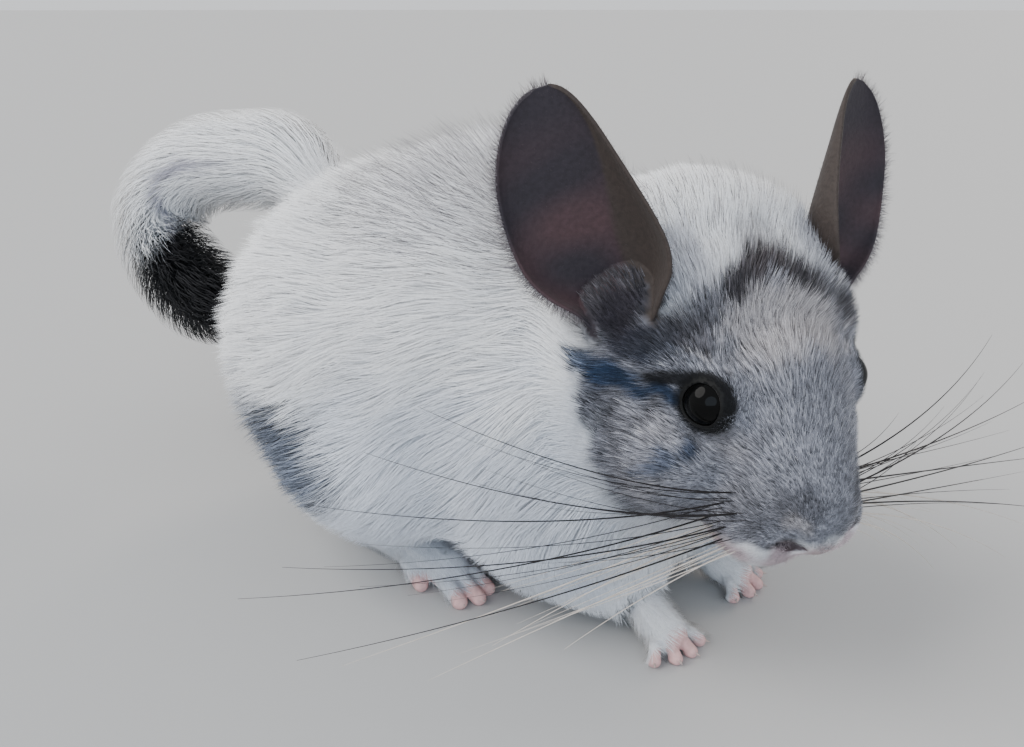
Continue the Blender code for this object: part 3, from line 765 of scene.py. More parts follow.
def in_cups(points):
    """How much a place lies in the hollow of an ear's cup, and on the bare floor of it, from 0 to 1."""
    place = in_axes(points, HEAD)
    inside, floor_share = np.zeros((2, len(points)))
    for label in SIDES:
        notch, rise, outward, opening = ear_axes(label)
        away = place - np.array(notch) * 1000
        spot = np.stack([away @ np.array(way) for way in (rise, outward, opening)], 1)
        hollow = near(spot, (7, -1, -1), (20, 15, 13))
        inside = np.maximum(inside, hollow)
        on_floor = smoothstep(0.05, 0.35, hollow) * smoothstep(2.5, 4.5, spot[:, 0])
        floor_share = np.maximum(floor_share, on_floor)
    return inside, floor_share


def from_line(points, line):
    """How far each point lies from a line of straight pieces."""
    nearest = np.full(len(points), 1e9)
    for start, end in zip(np.array(line[:-1], float), np.array(line[1:], float)):
        way = end - start
        share = np.clip((points - start) @ way / (way @ way), 0, 1)
        nearest = np.minimum(nearest, np.linalg.norm(points - start - share[:, None] * way, axis=1))
    return nearest


def strayed(points, axes, size, reach, seeds):
    """Places in the given axes, strayed a little either way, so that a marking has a ragged edge."""
    stray = np.stack([ripple(points, size, seed) for seed in seeds], 1)
    return in_axes(points, axes) + stray * reach


def tint_at(points):
    """The colour at each point of the coat's surface, in linear red, green and blue, with the painted shade
    of the lower flanks and the painted sheen of the face.
    """
    place = strayed(points, HEAD, 0.006, 0.9, (1, 2, 3))
    place[:, 0] = np.abs(place[:, 0])
    x, y, z = place.T
    body = strayed(points, BODY, 0.016, 3.0, (4, 5, 6))
    beside = body.copy()
    beside[:, 0] = np.abs(beside[:, 0])
    colours = np.tile(WHITE, (len(points), 1))
    # painted shade: the lower flanks on both sides are painted blue-grey, where less light reaches them
    colours = mix(colours, PAINTED_SHADE, near(beside, (38, 45, 34), (46, 70, 42)) * 0.45)
    colours = mix(colours, SHOULDER_GREY, near(body, (-18, 54, 102), (30, 34, 20)) * 0.30)
    colours = mix(colours, SMOKE, near(beside, (60, 92, 36), (32, 36, 20)) * 0.95)

    rear = 19.5 - 0.25 * x + 8.0 * smoothstep(24, 33, x)
    rear = np.where(z > -5, rear, 19.0 + (z + 5) * 0.95)
    on_head = head_share(points)
    mask = smoothstep(2.6, -2.6, y - rear) * smoothstep(-1.8, 1.8, z + 15 + (y + 27) * 0.75) * on_head
    colours = mix(colours, MASK_GREY, mask)
    for centre, reach, colour, strength in FACE_PATCHES:
        colours = mix(colours, colour, near(place, centre, reach) * strength * on_head)
    for line, width, colour, strength in FACE_STRIPES:
        stripe = smoothstep(width, width * 0.35, from_line(place, line))
        colours = mix(colours, colour, stripe * strength * on_head)
    colours = mix(colours, FUZZ, in_cups(points)[0] * 0.95)
    drawn_out = in_axes(points, HEAD) * (0.001, 0.00028, 0.001)
    streak = 0.6 * ripple(drawn_out, 0.0016, 9) + ripple(drawn_out, 0.0008, 10)
    grey = smoothstep(0.62, 0.35, colours.mean(1)) * on_head
    colours = colours * (1 + 0.30 * np.clip(streak, -2, 2.5) * grey)[:, None]
    exact, from_eye = face_place(points)
    lid_line = smoothstep(2.3, 1.0, from_line(exact, LID_LINE))
    colours = mix(colours, BLACK, lid_line * 0.95 * on_head)
    eye_ring = smoothstep(7.6, 6.3, from_eye) * (0.70 + 0.30 * smoothstep(-2, 3, z))
    colours = mix(colours, BLACK, eye_ring * on_head)
    return np.clip(colours, 0.0, 1.0)


def on_feet(points):
    """How much a place belongs to a paw or a hind foot, and how much of that is bare toe."""
    foot = np.zeros(len(points))
    toes = np.zeros(len(points))
    for label, side in SIDES.items():
        x, y, z = in_axes(points, forepaw_place(label)).T
        close = (np.abs(x) < 11) * smoothstep(13, 10, z) * (y > -5)
        foot = np.maximum(foot, close * smoothstep(20, 13, y))
        toes = np.maximum(toes, close * smoothstep(4.6, 3.6, y))
        x, y, z = in_axes(points, hindfoot_place(side)).T
        close = (np.abs(x) < 13) * smoothstep(16, 12, z) * (y > -5)
        foot = np.maximum(foot, close * smoothstep(62, 54, y))
        toes = np.maximum(toes, close * smoothstep(6.4, 4.8, y))
        outer = np.linalg.norm(np.stack([x - side * 6.8, (y - 16) * 0.7, z - 2], 1), axis=1)
        toes = np.maximum(toes, smoothstep(4.0, 2.6, outer))
    return foot, toes


def paint(mesh, colours):
    layer = mesh.color_attributes.new("Tint", "FLOAT_COLOR", "POINT")
    full = np.ones((len(colours), 4), np.float32)
    full[:, :3] = colours
    layer.data.foreach_set("color", full.ravel())


def coat_surface(points, normals):
    """The places on the outside of the coat above those on the skin."""
    return points + normals * coat_depth(points)[:, None]


points = vertices_of(skin.data)
skin_tint = tint_at(coat_surface(points, normals_of(skin.data))) * 0.85
ear, ear_across, ear_along = on_ears(points)
ear_tint = np.tile(EAR_TONE, (len(points), 1))
# painted light: the ear is painted with a warm reddish glow in random patches, most towards its base, as of
# light shining through it
glow = np.clip(0.45 + 0.5 * ripple(points, 0.016, 21), 0, 1) * smoothstep(0.85, 0.35, ear_along)
ear_tint = mix(ear_tint, EAR_GLOW, glow)
# painted light: past this edge across the ear, the inner wall of the cup is painted a lighter, lit brown
crease = -0.20 - 0.55 * smoothstep(0.35, 0.85, ear_along)
ear_tint = mix(ear_tint, LIT_EAR_WALL, smoothstep(crease, crease - 0.12, ear_across))
ear = np.maximum(ear, in_cups(points)[1])
skin_tint = mix(skin_tint, ear_tint, ear)
tail_station, _ = along_tail(points)
skin_tint = mix(skin_tint, BLACK, tail_share(points) * smoothstep(0.60, 0.64, tail_station))
skin_tint = mix(skin_tint, PINK, on_feet(points)[1])
head_place, from_eye = face_place(points)
skin_tint = mix(skin_tint, SOCKET_BLACK, smoothstep(7.6, 6.6, from_eye))
nose = near(head_place, (0, -31, -15.5), (6.5, 4.0, 4.0))
skin_tint = mix(skin_tint, NOSE_ROSE, nose * 0.8)
# painted shade: the shallow grooves of the nostrils are painted near black, as deep openings in shade would
# look
nostril = near(head_place, (7.2, -28.0, -15.0), (4.8, 3.2, 1.7))
skin_tint = mix(skin_tint, NOSTRIL_SHADE, nostril)
paint(skin.data, skin_tint)


def fur_material(name, roughness, strand, bump):
    """A hair finish that takes its colour from the markings and the painted light and shade, with fine
    streaks along the coat.
    """
    made = finish_of(name, {
        "Roughness": roughness, "Specular IOR Level": 0.16, "Sheen Weight": 0.05, "Sheen Roughness": 0.5,
    })
    nodes, links = made.node_tree.nodes, made.node_tree.links
    shader = nodes["Principled BSDF"]
    tint = nodes.new("ShaderNodeAttribute")
    tint.attribute_name = "Tint"
    place = nodes.new("ShaderNodeTexCoord")
    grain = nodes.new("ShaderNodeTexNoise")
    set_inputs(grain, {"Scale": strand, "Detail": 3.0})
    links.new(place.outputs["Object"], grain.inputs["Vector"])
    spread = nodes.new("ShaderNodeMapRange")
    set_inputs(spread, {"From Min": 0.3, "From Max": 0.7, "To Min": 0.86, "To Max": 1.10})
    links.new(grain.outputs["Fac"], spread.inputs["Value"])
    tone = nodes.new("ShaderNodeVectorMath")
    tone.operation = "SCALE"
    links.new(tint.outputs["Color"], tone.inputs[0])
    links.new(spread.outputs["Result"], tone.inputs["Scale"])
    links.new(tone.outputs["Vector"], shader.inputs["Base Color"])
    if bump:
        raised = nodes.new("ShaderNodeBump")
        set_inputs(raised, {"Strength": bump, "Distance": 0.0004})
        links.new(grain.outputs["Fac"], raised.inputs["Height"])
        links.new(raised.outputs["Normal"], shader.inputs["Normal"])
    return made


skin.data.materials.clear()
skin.data.materials.append(fur_material("skin", 0.6, 900.0, 0.35))
skin.data.shade_smooth()
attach(skin, "root")
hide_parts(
    *FLESH, "head", "muzzle", "lower_jaw", "ear_left", "ear_right", "forepaw_left", "forepaw_right",
    "hindfoot_left", "hindfoot_right", "tail_base", "tail_middle", "tail_tip",
)

# The unwrap
# Every tuft takes its place on this unwrap of the skin from where its root stands.
skin.data.uv_layers.new(name="OFBake")
bpy.context.view_layer.objects.active = skin
skin.select_set(True)
bpy.ops.object.mode_set(mode="EDIT")
bpy.ops.mesh.select_all(action="SELECT")
bpy.ops.uv.smart_project(angle_limit=math.radians(70), island_margin=0.001)
bpy.ops.object.mode_set(mode="OBJECT")
skin.select_set(False)

# The eyes
# Two glossy, nearly black balls that swell a little in front, where the cornea is. They lie in their
# sockets behind the lids, with a hair's breadth of room.
EYE_ROOM = 0.00005
CORNEA_RISE = 0.00025
eye_black = finish_of(
    "eye", {"Base Color": (0.002, 0.002, 0.002, 1.0), "Roughness": 0.05, "Specular IOR Level": 0.09}
)
for label, side in SIDES.items():
    shape = bmesh.new()
    bmesh.ops.create_uvsphere(shape, u_segments=48, v_segments=32, radius=EYE_RADIUS - EYE_ROOM)
    for vertex in shape.verts:
        front = max(0.0, vertex.co.z / EYE_RADIUS)
        vertex.co.z += CORNEA_RISE * front**4
    turn = gaze_of(side).to_track_quat("Z", "Y").to_matrix().to_4x4()
    shape.transform(HEAD @ Matrix.Translation((side * EYE_SPACING / 2, 0, 0)) @ turn)
    eye = add_piece("eyeball_" + label, shape)
    eye.data.materials.append(eye_black)
    eye.data.shade_smooth()
    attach(eye, "root")
    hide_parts("eye_" + label)

# The coat
# Dense, soft plush, about twelve millimetres long on the body and two on the nose. Each tuft is a slim
# tapering blade rooted in the skin, which leans along the lie of the coat. The longer ones bend down to it.
TRUNK_TUFTS = 112000
HEAD_TUFTS = 92000
DROOP = 0.20
BENT_FROM = 0.0045
BENT_SHARE = 0.34
ROOT_DEPTH = 0.0003
OFF_FLOOR = 0.0004
OFF_EARS = 0.0021
LOCK_EVERY = 8
LOCK_PULL = 0.22
BLADE_SHAPE = ((1.0, 0.0), (0.0, 0.42), (-1.0, 0.0))
BLADE_SOFTNESS = 0.88
PATCH_LENGTH = 0.0030
PIECE_LIMIT = 190000

# What stays bare, in millimetres: round the middle of the eye, and up from the floor
BARE_EYE = 5.7
BARE_SOLE = 1.2

fine = 1.0
thick = 1.0 if fine == 1.0 else 1.7

fur = fur_material("fur", 0.75, 1500.0, 0.0)


def unit(vectors):
    return vectors / np.maximum(np.linalg.norm(vectors, axis=-1, keepdims=True), 1e-9)


def lie_at(points, normals):
    """The direction in which the coat lies at each point, along the surface."""
    head_turn = np.array(HEAD)[:3, :3]
    on_head = head_share(points)[:, None]
    back = (in_axes(points, HEAD) - (0, -34, -16)) @ head_turn.T
    from_neck = in_axes(points, BODY) - (0, -10, 96)
    lie = unit(from_neck) * (1 - on_head) + unit(back) * on_head
    body = in_axes(points, BODY)
    low = (smoothstep(34, 14, body[:, 2]) * (1 - on_head[:, 0]))[:, None]
    behind = smoothstep(26, 40, body[:, 1])[:, None]
    along_floor = np.array((0.0, 1.0, -0.12)) * behind + np.array((0.0, -0.5, -0.9)) * (1 - behind)
    lie = lie * (1 - low) + along_floor * low
    foot = on_feet(points)[0][:, None]
    lie = lie * (1 - foot) + np.array((0.0, -0.95, -0.3)) * foot
    lie -= normals * np.sum(lie * normals, axis=1)[:, None]
    return unit(lie)


def coat_sizes(points):
    """Length and width of the tufts in metres."""
    place, from_eye = face_place(points)
    y = place[:, 1]
    body = in_axes(points, BODY)
    body_length = 3.6 + 8.6 * smoothstep(10, 44, body[:, 2])
    face_length = 1.7 + 1.8 * smoothstep(-26, 0, y) + 3.2 * smoothstep(6, 30, y)
    face_length *= 0.42 + 0.58 * smoothstep(5.5, 12, from_eye)
    face_length *= 1.0 - 0.30 * near(place, (33, 20, 4), (12, 11, 10))
    share = head_share(points)
    length = body_length + (face_length - body_length) * share
    foot, _ = on_feet(points)
    length = length + (3.3 - length) * foot
    length = length + (2.2 - length) * in_cups(points)[0]
    width = 0.105 + 0.0105 * length
    return length / 1000.0, width / 1000.0


def plant(mesh, count, weights, seed):
    """Roots spread over the mesh by area and weight: places, normals and places on the unwrap."""
    chance = np.random.default_rng(seed)
    mesh.calc_loop_triangles()
    triangles = rows_of(mesh.loop_triangles, "vertices", kind=np.int32)
    loops = rows_of(mesh.loop_triangles, "loops", kind=np.int32)
    spots, outs = vertices_of(mesh), normals_of(mesh)
    unwrap = rows_of(mesh.uv_layers["OFBake"].uv, "vector", 2)
    a, b, c = (spots[triangles[:, corner]] for corner in range(3))
    faces = np.cross(b - a, c - a)
    heavy = np.linalg.norm(faces, axis=1) / 2 * weights((a + b + c) / 3, unit(faces))
    ladder = np.cumsum(heavy) / heavy.sum()
    picks = np.searchsorted(ladder, (np.arange(count) + chance.uniform(0, 1, count)) / count)
    picks = np.minimum(picks, len(ladder) - 1)
    u, v = chance.uniform(0, 1, (2, count))
    flip = u + v > 1
    u[flip], v[flip] = 1 - u[flip], 1 - v[flip]
    shares = np.stack([1 - u - v, u, v], 1)[:, :, None]
    roots = (spots[triangles[picks]] * shares).sum(1)
    normals = unit((outs[triangles[picks]] * shares).sum(1))
    places = (unwrap[loops[picks]] * shares).sum(1)
    return roots, normals, places


def strands(roots, normals, aims, length, droop, steps):
    """The middle line of each tuft: it leaves the skin along its aim and bends down by the droop."""
    along = np.linspace(0, 1, steps)[None, :, None]
    reach = length[:, None, None]
    lines = (roots - normals * ROOT_DEPTH)[:, None] + aims[:, None] * reach * along
    lines = lines - normals[:, None] * droop * reach * along * along
    lines[:, 1:, 2] = np.maximum(lines[:, 1:, 2], OFF_FLOOR)
    return lines


def blades(name, lines, outs, width, tints, places):
    """One mesh of slim closed blades, each along its own line and tapering to a point at the line's end."""
    count, steps = lines.shape[:2]
    outs = np.broadcast_to(outs if outs.ndim == 3 else outs[:, None], lines.shape)
    side = unit(np.cross(unit(np.gradient(lines, axis=1)), outs))
    spots, leans, tones, patches = [], [], [], []
    for step in range(steps):
        share = step / (steps - 1)
        girth = width * (1 - share**2.2) * 0.5
        for across, up in BLADE_SHAPE if step < steps - 1 else ((0.0, 0.0),):
            aside, above = side[:, step] * across, outs[:, step] * up
            spots.append(lines[:, step] + (aside + above) * girth[:, None])
            own_lean = aside * 0.6 + above - outs[:, step] * 0.15
            leans.append(unit(outs[:, step] * BLADE_SOFTNESS + own_lean * (1 - BLADE_SOFTNESS)))
            tones.append(tints[0] + (tints[1] - tints[0]) * share**0.7)
            patches.append(places + np.array((PATCH_LENGTH * (share - 0.5), PATCH_LENGTH / 2 * across)))
    per = len(spots)
    spots, leans, tones, patches = (np.stack(rows, 1).reshape(count * per, -1)
                                    for rows in (spots, leans, tones, patches))
    faces = [(0, 1, 2)]
    for low in range(0, (steps - 2) * 3, 3):
        for corner in range(3):
            after = (corner + 1) % 3
            faces.append((low + corner, low + 3 + corner, low + 3 + after))
            faces.append((low + corner, low + 3 + after, low + after))
    last = (steps - 2) * 3
    faces += [(last + corner, per - 1, last + (corner + 1) % 3) for corner in range(3)]
    whole = (np.array(faces, np.int32)[None] + (np.arange(count) * per)[:, None, None]).reshape(-1)

    mesh = bpy.data.meshes.new(name)
    mesh.vertices.add(len(spots))
    mesh.vertices.foreach_set("co", spots.astype(np.float32).ravel())
    mesh.loops.add(len(whole))
    mesh.loops.foreach_set("vertex_index", whole)
    mesh.polygons.add(len(whole) // 3)
    mesh.polygons.foreach_set("loop_start", np.arange(0, len(whole), 3, dtype=np.int32))
    mesh.update(calc_edges=True)
    paint(mesh, tones)
    unwrap = mesh.uv_layers.new(name="OFBake")
    unwrap.uv.foreach_set("vector", patches[whole].astype(np.float32).ravel())
    mesh.polygons.foreach_set("use_smooth", np.ones(len(mesh.polygons), bool))
    mesh.normals_split_custom_set_from_vertices(leans.astype(np.float32))
    mesh.materials.append(fur)
    piece = bpy.data.objects.new(name, mesh)
    bpy.context.scene.collection.objects.link(piece)
    return piece


def in_pieces(name, slot, lines, outs, width, tints, places):
    """The blades, in as many pieces as the limit on triangles asks for."""
    most = PIECE_LIMIT // (6 * (lines.shape[1] - 2) + 4)
    parts = np.array_split(np.arange(len(lines)), math.ceil(len(lines) / most))
    for number, part in enumerate(parts, 1):
        own_tints = [tint[part] for tint in tints]
        piece = blades(f"{name}_{number}", lines[part], outs[part], width[part], own_tints, places[part])
        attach(piece, "root")


def bent(aims, normals, lift, wander):
    """Aims raised off the skin by the lift, in degrees, and turned about the normal by the wander."""
    turn = wander[:, None]
    swung = aims * np.cos(turn) + np.cross(normals, aims) * np.sin(turn)
    up = np.radians(lift)[:, None]
    return unit(swung * np.cos(up) + normals * np.sin(up))


def gathered(roots, aims, length):
    """Aims drawn together, so that the tips of neighbouring tufts meet in small locks."""
    tree = tree_of(roots[::LOCK_EVERY])
    leaders = np.array([tree.find(root)[1] for root in roots]) * LOCK_EVERY
    tips = roots + aims * length[:, None]
    goal = roots[leaders] + aims[leaders] * length[leaders][:, None]
    far = np.linalg.norm(goal - tips, axis=1)
    pulled = LOCK_PULL * (far < length)
    return unit(tips + (goal - tips) * pulled[:, None] - roots)


def bare(points):
    """How much coat grows at a place: none on the eyes, toes, nose and soles and the cups of the ears."""
    place, from_eye = face_place(points)
    coat = (from_eye > BARE_EYE) * (1 - on_ears(points, OFF_EARS)[0]) * (1 - on_feet(points)[1])
    coat *= in_axes(points, BODY)[:, 2] > BARE_SOLE
    coat *= 1 - near(place, (4.5, -30, -15.6), (6.0, 4.0, 2.3))
    return coat * (1 - tail_share(points))


def coat_weight(points, normals):
    length, width = coat_sizes(points)
    seen = 0.35 + 0.65 * smoothstep(-0.75, -0.30, normals[:, 2])
    return bare(points) * seen / (length * width)


def trunk_weight(points, normals):
    return coat_weight(points, normals) * (head_share(points) < 0.5)


def head_weight(points, normals):
    return coat_weight(points, normals) * (head_share(points) >= 0.5)


def coat_tints(points, chance):
    """The colour of each tuft at its root and at its tip, with the ticking of grey hair."""
    tone = tint_at(points)
    bright = tone.mean(1)
    ticked = 0.03 + 0.80 * smoothstep(0.62, 0.30, bright) * smoothstep(0.03, 0.12, bright)
    speckle = np.clip(1.0 + ticked * chance.normal(0, 1, len(points)), 0.20, 2.6)[:, None]
    depth = (0.46 + 0.49 * smoothstep(0.35, 0.65, bright))[:, None]
    return [np.clip(tone * depth * speckle, 0.004, 0.90), np.clip(tone * 1.05 * speckle, 0.004, 0.92)]


chance = np.random.default_rng(11)
for part, tufts, weight, bent_share, slot in (
    ("trunk", TRUNK_TUFTS, trunk_weight, BENT_SHARE, "white_fur"),
    ("head", HEAD_TUFTS, head_weight, 1.0, "grey_fur"),
):
    roots, normals, places = plant(skin.data, int(tufts * fine), weight, 12)
    length, width = coat_sizes(roots)
    length *= chance.uniform(0.80, 1.15, len(roots))
    width *= chance.uniform(0.8, 1.25, len(roots)) * thick
    height = coat_depth(roots) * 1.08 + ROOT_DEPTH
    curved = (length > BENT_FROM) & (chance.uniform(0, 1, len(roots)) < bent_share)
    droop = np.where(curved, DROOP, 0.0)
    lift = np.degrees(np.arcsin(np.clip(height / length + droop, 0.1, 0.85)))
    lift += 3.0 * ripple(roots, 0.008, 33) + chance.normal(0, 3.5, len(roots))
    wander = 0.20 * ripple(roots, 0.014, 31) + 0.12 * ripple(roots, 0.005, 32)
    wander += chance.normal(0, 0.10, len(roots))
    aims = bent(lie_at(roots, normals), normals, lift, wander)
    aims = gathered(roots, aims, length)
    tints = coat_tints(coat_surface(roots, normals), chance)
    blocked = np.zeros(len(roots), bool)
    for share in (0.4, 0.7, 1.0):
        blocked |= on_ears(roots + aims * length[:, None] * share)[0] > 0.3
    length = np.where(blocked, length * 0.4, length)
    for name, chosen, steps, sag in (("long", curved, 3, DROOP), ("short", ~curved, 2, 0.0)):
        picked = np.flatnonzero(chosen)
        lines = strands(roots[picked], normals[picked], aims[picked], length[picked], sag, steps)
        in_pieces(
            f"coat_{part}_{name}", slot, lines, normals[picked], width[picked],
            [tint[picked] for tint in tints], places[picked],
        )

# The tail's brush
# Long, straight hair all round the tail bone. Each tuft leaves the bone, swings outwards to the brush's own
# radius and follows the bend of the tail, white on the first half and black on the second.
TAIL_TUFTS = 8500
PLUME_LENGTH = 0.025
PLUME_WIDTH = 0.00032
# painted shade: a grey-violet for the line where the tail's hair parts
PARTING_SHADE = (0.27, 0.26, 0.34)
BLACK_FROM = 0.585
BLACK_SLANT = 0.085
hair_line = [*tail_line]
for _ in range(TAIL_STEPS // 5):
    hair_line.append(hair_line[-1] * 2 - hair_line[-2])
tail_spots = np.array(hair_line)
tail_ahead = unit(np.gradient(tail_spots, axis=0))
tail_out = np.zeros_like(tail_spots)
outwards = np.array((0.0, 0.0, 1.0))
for index, ahead in enumerate(tail_ahead):
    outwards = outwards - ahead * (outwards @ ahead)
    outwards /= np.linalg.norm(outwards)
    tail_out[index] = outwards
tail_aside = np.cross(tail_ahead, tail_out)


def plume_radius(share):
    limits = np.minimum(0.88 + 1.0 * share, 0.50 + 3.2 * (1 - share))
    return PLUME_RADIUS * np.clip(limits, 0.35, 1.0)


def tail_weight(points, normals):
    return tail_share(points)


def at_stations(rows, place):
    """The rows read at places between their stations."""
    low = place.astype(int)
    part = (place - low)[:, None]
    return rows[low] * (1 - part) + rows[low + 1] * part


def plume_strands(roots, length, steps, chance):
    """The middle line of each tuft of the tail, and the way outwards along it."""
    share, _ = along_tail(roots)
    station = share * (TAIL_STEPS - 1)
    nearest = station.astype(int)
    from_bone = roots - tail_spots[nearest]
    up = np.sum(from_bone * tail_out[nearest], axis=1)
    aside = np.sum(from_bone * tail_aside[nearest], axis=1)
    angle = np.arctan2(aside, up)
    start = np.hypot(up, aside) - ROOT_DEPTH
    fullness = 1.0 - 0.42 * chance.uniform(0, 1, len(roots)) ** 2
    twist = chance.normal(0, 0.10, len(roots)) + 0.10 * ripple(roots, 0.010, 41)
    spacing = (tail_line[1] - tail_line[0]).length
    lines, outs = [], []
    for step in range(steps):
        t = step / (steps - 1)
        place = np.minimum(station + length * t / spacing, len(tail_spots) - 1.001)
        turn = (angle + twist * t)[:, None]
        over, beside = at_stations(tail_out, place), at_stations(tail_aside, place)
        out = unit(over * np.cos(turn) + beside * np.sin(turn))
        goal = plume_radius(place / (TAIL_STEPS - 1)) * fullness
        radius = start + (goal - start) * math.sin(math.pi / 2 * t) ** 0.85
        lines.append(at_stations(tail_spots, place) + out * radius[:, None])
        outs.append(out)
    return np.stack(lines, 1), np.stack(outs, 1), angle


chance = np.random.default_rng(17)
roots, _, places = plant(skin.data, int(TAIL_TUFTS * fine), tail_weight, 18)
length = PLUME_LENGTH * chance.uniform(0.75, 1.1, len(roots))
station, _ = along_tail(roots)
lines, outs, angle = plume_strands(roots, length, 5, chance)
tints = coat_tints(roots, chance)
# painted shade: a grey-violet line is painted on the strands along the tail, for the shade in a parting of
# the hair
parting = np.radians(-80 - 40 * smoothstep(0.33, 0.60, station))
shaded_parting = smoothstep(math.radians(13), math.radians(6), np.abs(angle - parting))
shaded_parting *= smoothstep(0.12, 0.24, station)
border = BLACK_FROM + BLACK_SLANT * np.cos(angle + math.radians(72)) + 0.010 * ripple(roots, 0.006, 8)
ahead = station + np.array((0.0, 0.035))[:, None]
tints = [
    mix(mix(tint, PARTING_SHADE, shaded_parting * 0.75), BLACK, smoothstep(border, border + 0.03, place))
    for tint, place in zip(tints, ahead)
]
in_pieces(
    "tail_brush", "white_fur", lines, outs, PLUME_WIDTH * thick * chance.uniform(0.8, 1.3, len(roots)),
    tints, places,
)

# The guard hairs
# Fine, dark, longer hairs that stand out of the coat over the crown and the shoulders.
GUARD_HAIRS = 1900
GUARD_WIDTH = 0.00011
GUARD_TONE = np.array((0.090, 0.085, 0.095))


def guard_weight(points, normals):
    place = in_axes(points, HEAD)
    crown = near(place, (0, 30, 16), (38, 20, 16))
    shoulders = near(in_axes(points, BODY), (-12, 56, 100), (46, 48, 28))
    return bare(points) * np.maximum(crown * 0.45, shoulders * 0.6) * (1 - in_cups(points)[0])


chance = np.random.default_rng(23)
roots, normals, places = plant(skin.data, int(GUARD_HAIRS * fine), guard_weight, 24)
length = coat_sizes(roots)[0] * chance.uniform(1.15, 1.55, len(roots))
lift = np.degrees(np.arcsin(np.clip(coat_depth(roots) * 1.5 / length + 0.15, 0.1, 0.85)))
aims = bent(lie_at(roots, normals), normals, lift + 8.0, chance.normal(0, 0.20, len(roots)))
lines = strands(roots, normals, aims, length, 0.15, 3)
dark = GUARD_TONE * chance.uniform(0.5, 2.8, len(roots))[:, None]
width = np.full(len(roots), GUARD_WIDTH * thick)
in_pieces("guard_hairs", "dark_fur", lines, normals, width, [dark, dark], places)

# The hair of the ears
# A thin down over both faces of each cup, and a fringe of paler hairs round its rim.
EAR_HAIRS = 13000
RIM_HAIRS = 6.0
EAR_HAIR_WIDTH = 0.00009
DOWN_TONE = np.array((0.075, 0.060, 0.064))
FRINGE_TONE = np.array((0.20, 0.18, 0.19))


def ear_weight(points, normals):
    ear, across, along = on_ears(points)
    rim = smoothstep(0.86, 0.97, np.abs(across)) + smoothstep(0.94, 0.99, along)
    return ear * (1.0 + RIM_HAIRS * np.minimum(rim, 1.0) * (across > -0.86)) * (along > 0.08)


chance = np.random.default_rng(29)
roots, normals, places = plant(skin.data, int(EAR_HAIRS * fine), ear_weight, 30)
_, across, along = on_ears(roots)
rim = np.minimum(smoothstep(0.86, 0.97, across) + smoothstep(0.94, 0.99, along), 1.0)
middles = np.array([HEAD @ ear_point(label, 0.0, 0.40) for label in SIDES])
is_left = in_axes(roots, HEAD)[:, 0] > 0
away = unit(roots - middles[is_left.astype(int)])
away = unit(away + chance.normal(0, 0.28, away.shape))
length = (0.0011 + 0.0017 * rim) * chance.uniform(0.6, 1.3, len(roots))
aims = unit(away + normals * 0.25)
lines = strands(roots, normals, aims, length, 0.05, 2)
down = mix(DOWN_TONE, FRINGE_TONE, rim) * chance.uniform(0.5, 1.5, len(roots))[:, None]
width = np.full(len(roots), EAR_HAIR_WIDTH * thick)
in_pieces("ear_hair", "ear_skin", lines, normals, width, [down, down], places)

# The claws
# A small pale claw of horn at the end of each front toe. It points a little downwards, and lies just
# ahead of the toe's round tip.
CLAW_LENGTH = 0.0016
CLAW_RADIUS = 0.00042
claw_shape = bmesh.new()
toes = [(forepaw_place(label), forepaw_toe(toe)) for label in SIDES for toe in range(4)]
toes += [(hindfoot_place(side), hindfoot_toe(toe)) for side in SIDES.values() for toe in range(3)]
for foot, (_, knuckle, tip) in toes:
    ahead = (tip - knuckle).normalized()
    ahead.z = -0.15
    turn = ahead.normalized().to_track_quat("Z", "Y").to_matrix().to_4x4()
    place = Matrix.Translation(tip + ahead.normalized() * 0.0017 + Vector((0, 0, 0.0004)))
    bmesh.ops.create_cone(
        claw_shape, cap_ends=True, segments=10, radius1=CLAW_RADIUS, radius2=CLAW_RADIUS * 0.15,
        depth=CLAW_LENGTH, matrix=foot @ place @ turn,
    )
claws = add_piece("claws", claw_shape)
claws.data.materials.append(finish_of("horn", {"Base Color": (0.42, 0.33, 0.30, 1.0), "Roughness": 0.45}))
claws.data.shade_smooth()
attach(claws, "root")

# The whiskers
# Long springy hairs in rows on each pad: dark ones above, pale ones below. Each is a fine tapering rod. The
# ones named here are those of the solids, and finer ones stand between them.
WHISKER_RADIUS = 0.00021
WHISKER_SIDES = 5
WHISKER_STEPS = 22
WHISKERS = [
    (0.00, 33, 2, 0.066),
    (0.10, 29, 7, 0.078),
    (0.20, 22, 13, 0.086),
    (0.30, 19, 18, 0.094),
    (0.42, 16, 22, 0.102),
    (0.54, 10, 24, 0.094),
    (0.66, 6, 27, 0.084),
    (0.78, 3, 29, 0.070),
    (0.88, 1, 32, 0.054),
    (1.00, -2, 34, 0.042),
]
BOW_PER_DEGREE = 0.0028
LEFT_FORWARD = 14
LEFT_LIFT = 8
FINE_WHISKERS = 24
PALE_FROM = 0.60
FINE_GIRTH = 0.55
DARK_HAIR = (0.014, 0.012, 0.013)
PALE_HAIR = (0.60, 0.54, 0.48)


def whisker_between(place):
    """The values of a whisker at a place between those in the list."""
    low = min(int(place), len(WHISKERS) - 2)
    return [a + (b - a) * (place - low) for a, b in zip(WHISKERS[low], WHISKERS[low + 1])]


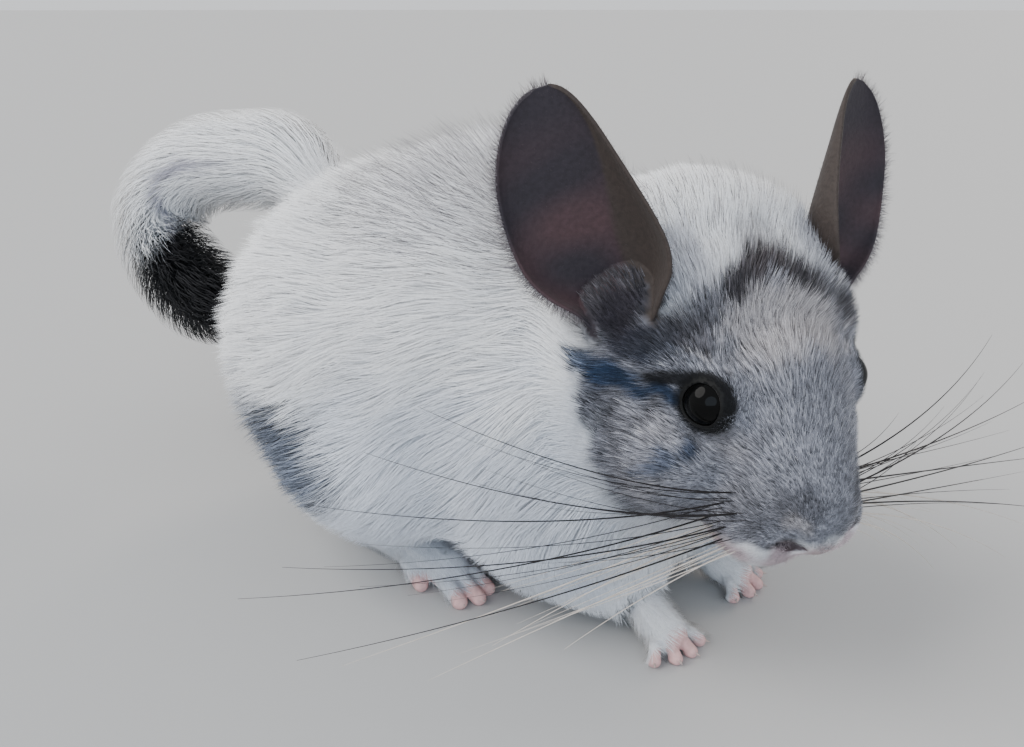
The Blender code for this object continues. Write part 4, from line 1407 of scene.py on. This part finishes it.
def whisker_line(label, place, row, scale):
    """Points along a whisker from its root to its tip, in the head's own axes."""
    side = SIDES[label]
    share, back, down, length = whisker_between(place)
    if label == "left":
        back -= LEFT_FORWARD
        down -= LEFT_LIFT
    root = Vector((side * (0.0136 - 0.0016 * row), -0.0148 - 0.0042 * row, -0.0122))
    root -= Vector((0, 0.0030, 0.0095)) * share
    sweep, drop = math.radians(back), math.radians(down)
    aim = Vector((side * math.cos(sweep) * math.cos(drop), math.sin(sweep) * math.cos(drop), -math.sin(drop)))
    reach = aim * length * scale
    sag = 0.012 + 0.16 * max(0.0, share - PALE_FROM)
    bow = Vector((0, -BOW_PER_DEGREE * back, sag)) * length * scale
    return [root + reach * t + bow * 4 * (t - t * t) for t in np.linspace(-0.03, 1, WHISKER_STEPS)]


whisker_finish = fur_material("whisker", 0.4, 300.0, 0.0)
chance = np.random.default_rng(31)
for label in SIDES:
    hairs = [(place, place % 2, 1.0, WHISKER_RADIUS) for place in range(len(WHISKERS))]
    for _ in range(FINE_WHISKERS):
        place = chance.uniform(0, len(WHISKERS) - 1)
        row, scale = chance.uniform(-0.5, 1.6), chance.uniform(0.35, 0.85)
        hairs.append((place, row, scale, WHISKER_RADIUS * FINE_GIRTH))
    shape = bmesh.new()
    tones = []
    for place, row, scale, radius in hairs:
        points = whisker_line(label, place, row, scale)
        pale = place / (len(WHISKERS) - 1) > PALE_FROM
        across = (points[-1] - points[0]).orthogonal().normalized()
        up = (points[-1] - points[0]).normalized().cross(across)
        rings = []
        for step, point in enumerate(points):
            girth = radius * (1 - 0.82 * (step / (WHISKER_STEPS - 1)) ** 1.3)
            ring = []
            for corner in range(WHISKER_SIDES):
                turn = math.tau * corner / WHISKER_SIDES
                offset = across * math.cos(turn) + up * math.sin(turn)
                ring.append(shape.verts.new(point + offset * girth))
                tones.append(PALE_HAIR if pale else DARK_HAIR)
            rings.append(ring)
        for low, high in zip(rings, rings[1:]):
            for corner in range(WHISKER_SIDES):
                after = (corner + 1) % WHISKER_SIDES
                shape.faces.new((low[corner], low[after], high[after], high[corner]))
        shape.faces.new(rings[0][::-1])
        shape.faces.new(rings[-1])
    shape.transform(HEAD)
    bmesh.ops.recalc_face_normals(shape, faces=shape.faces)
    whiskers = add_piece("whiskers_" + label, shape)
    paint(whiskers.data, np.array(tones))
    whiskers.data.materials.append(whisker_finish)
    whiskers.data.shade_smooth()
    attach(whiskers, "root")
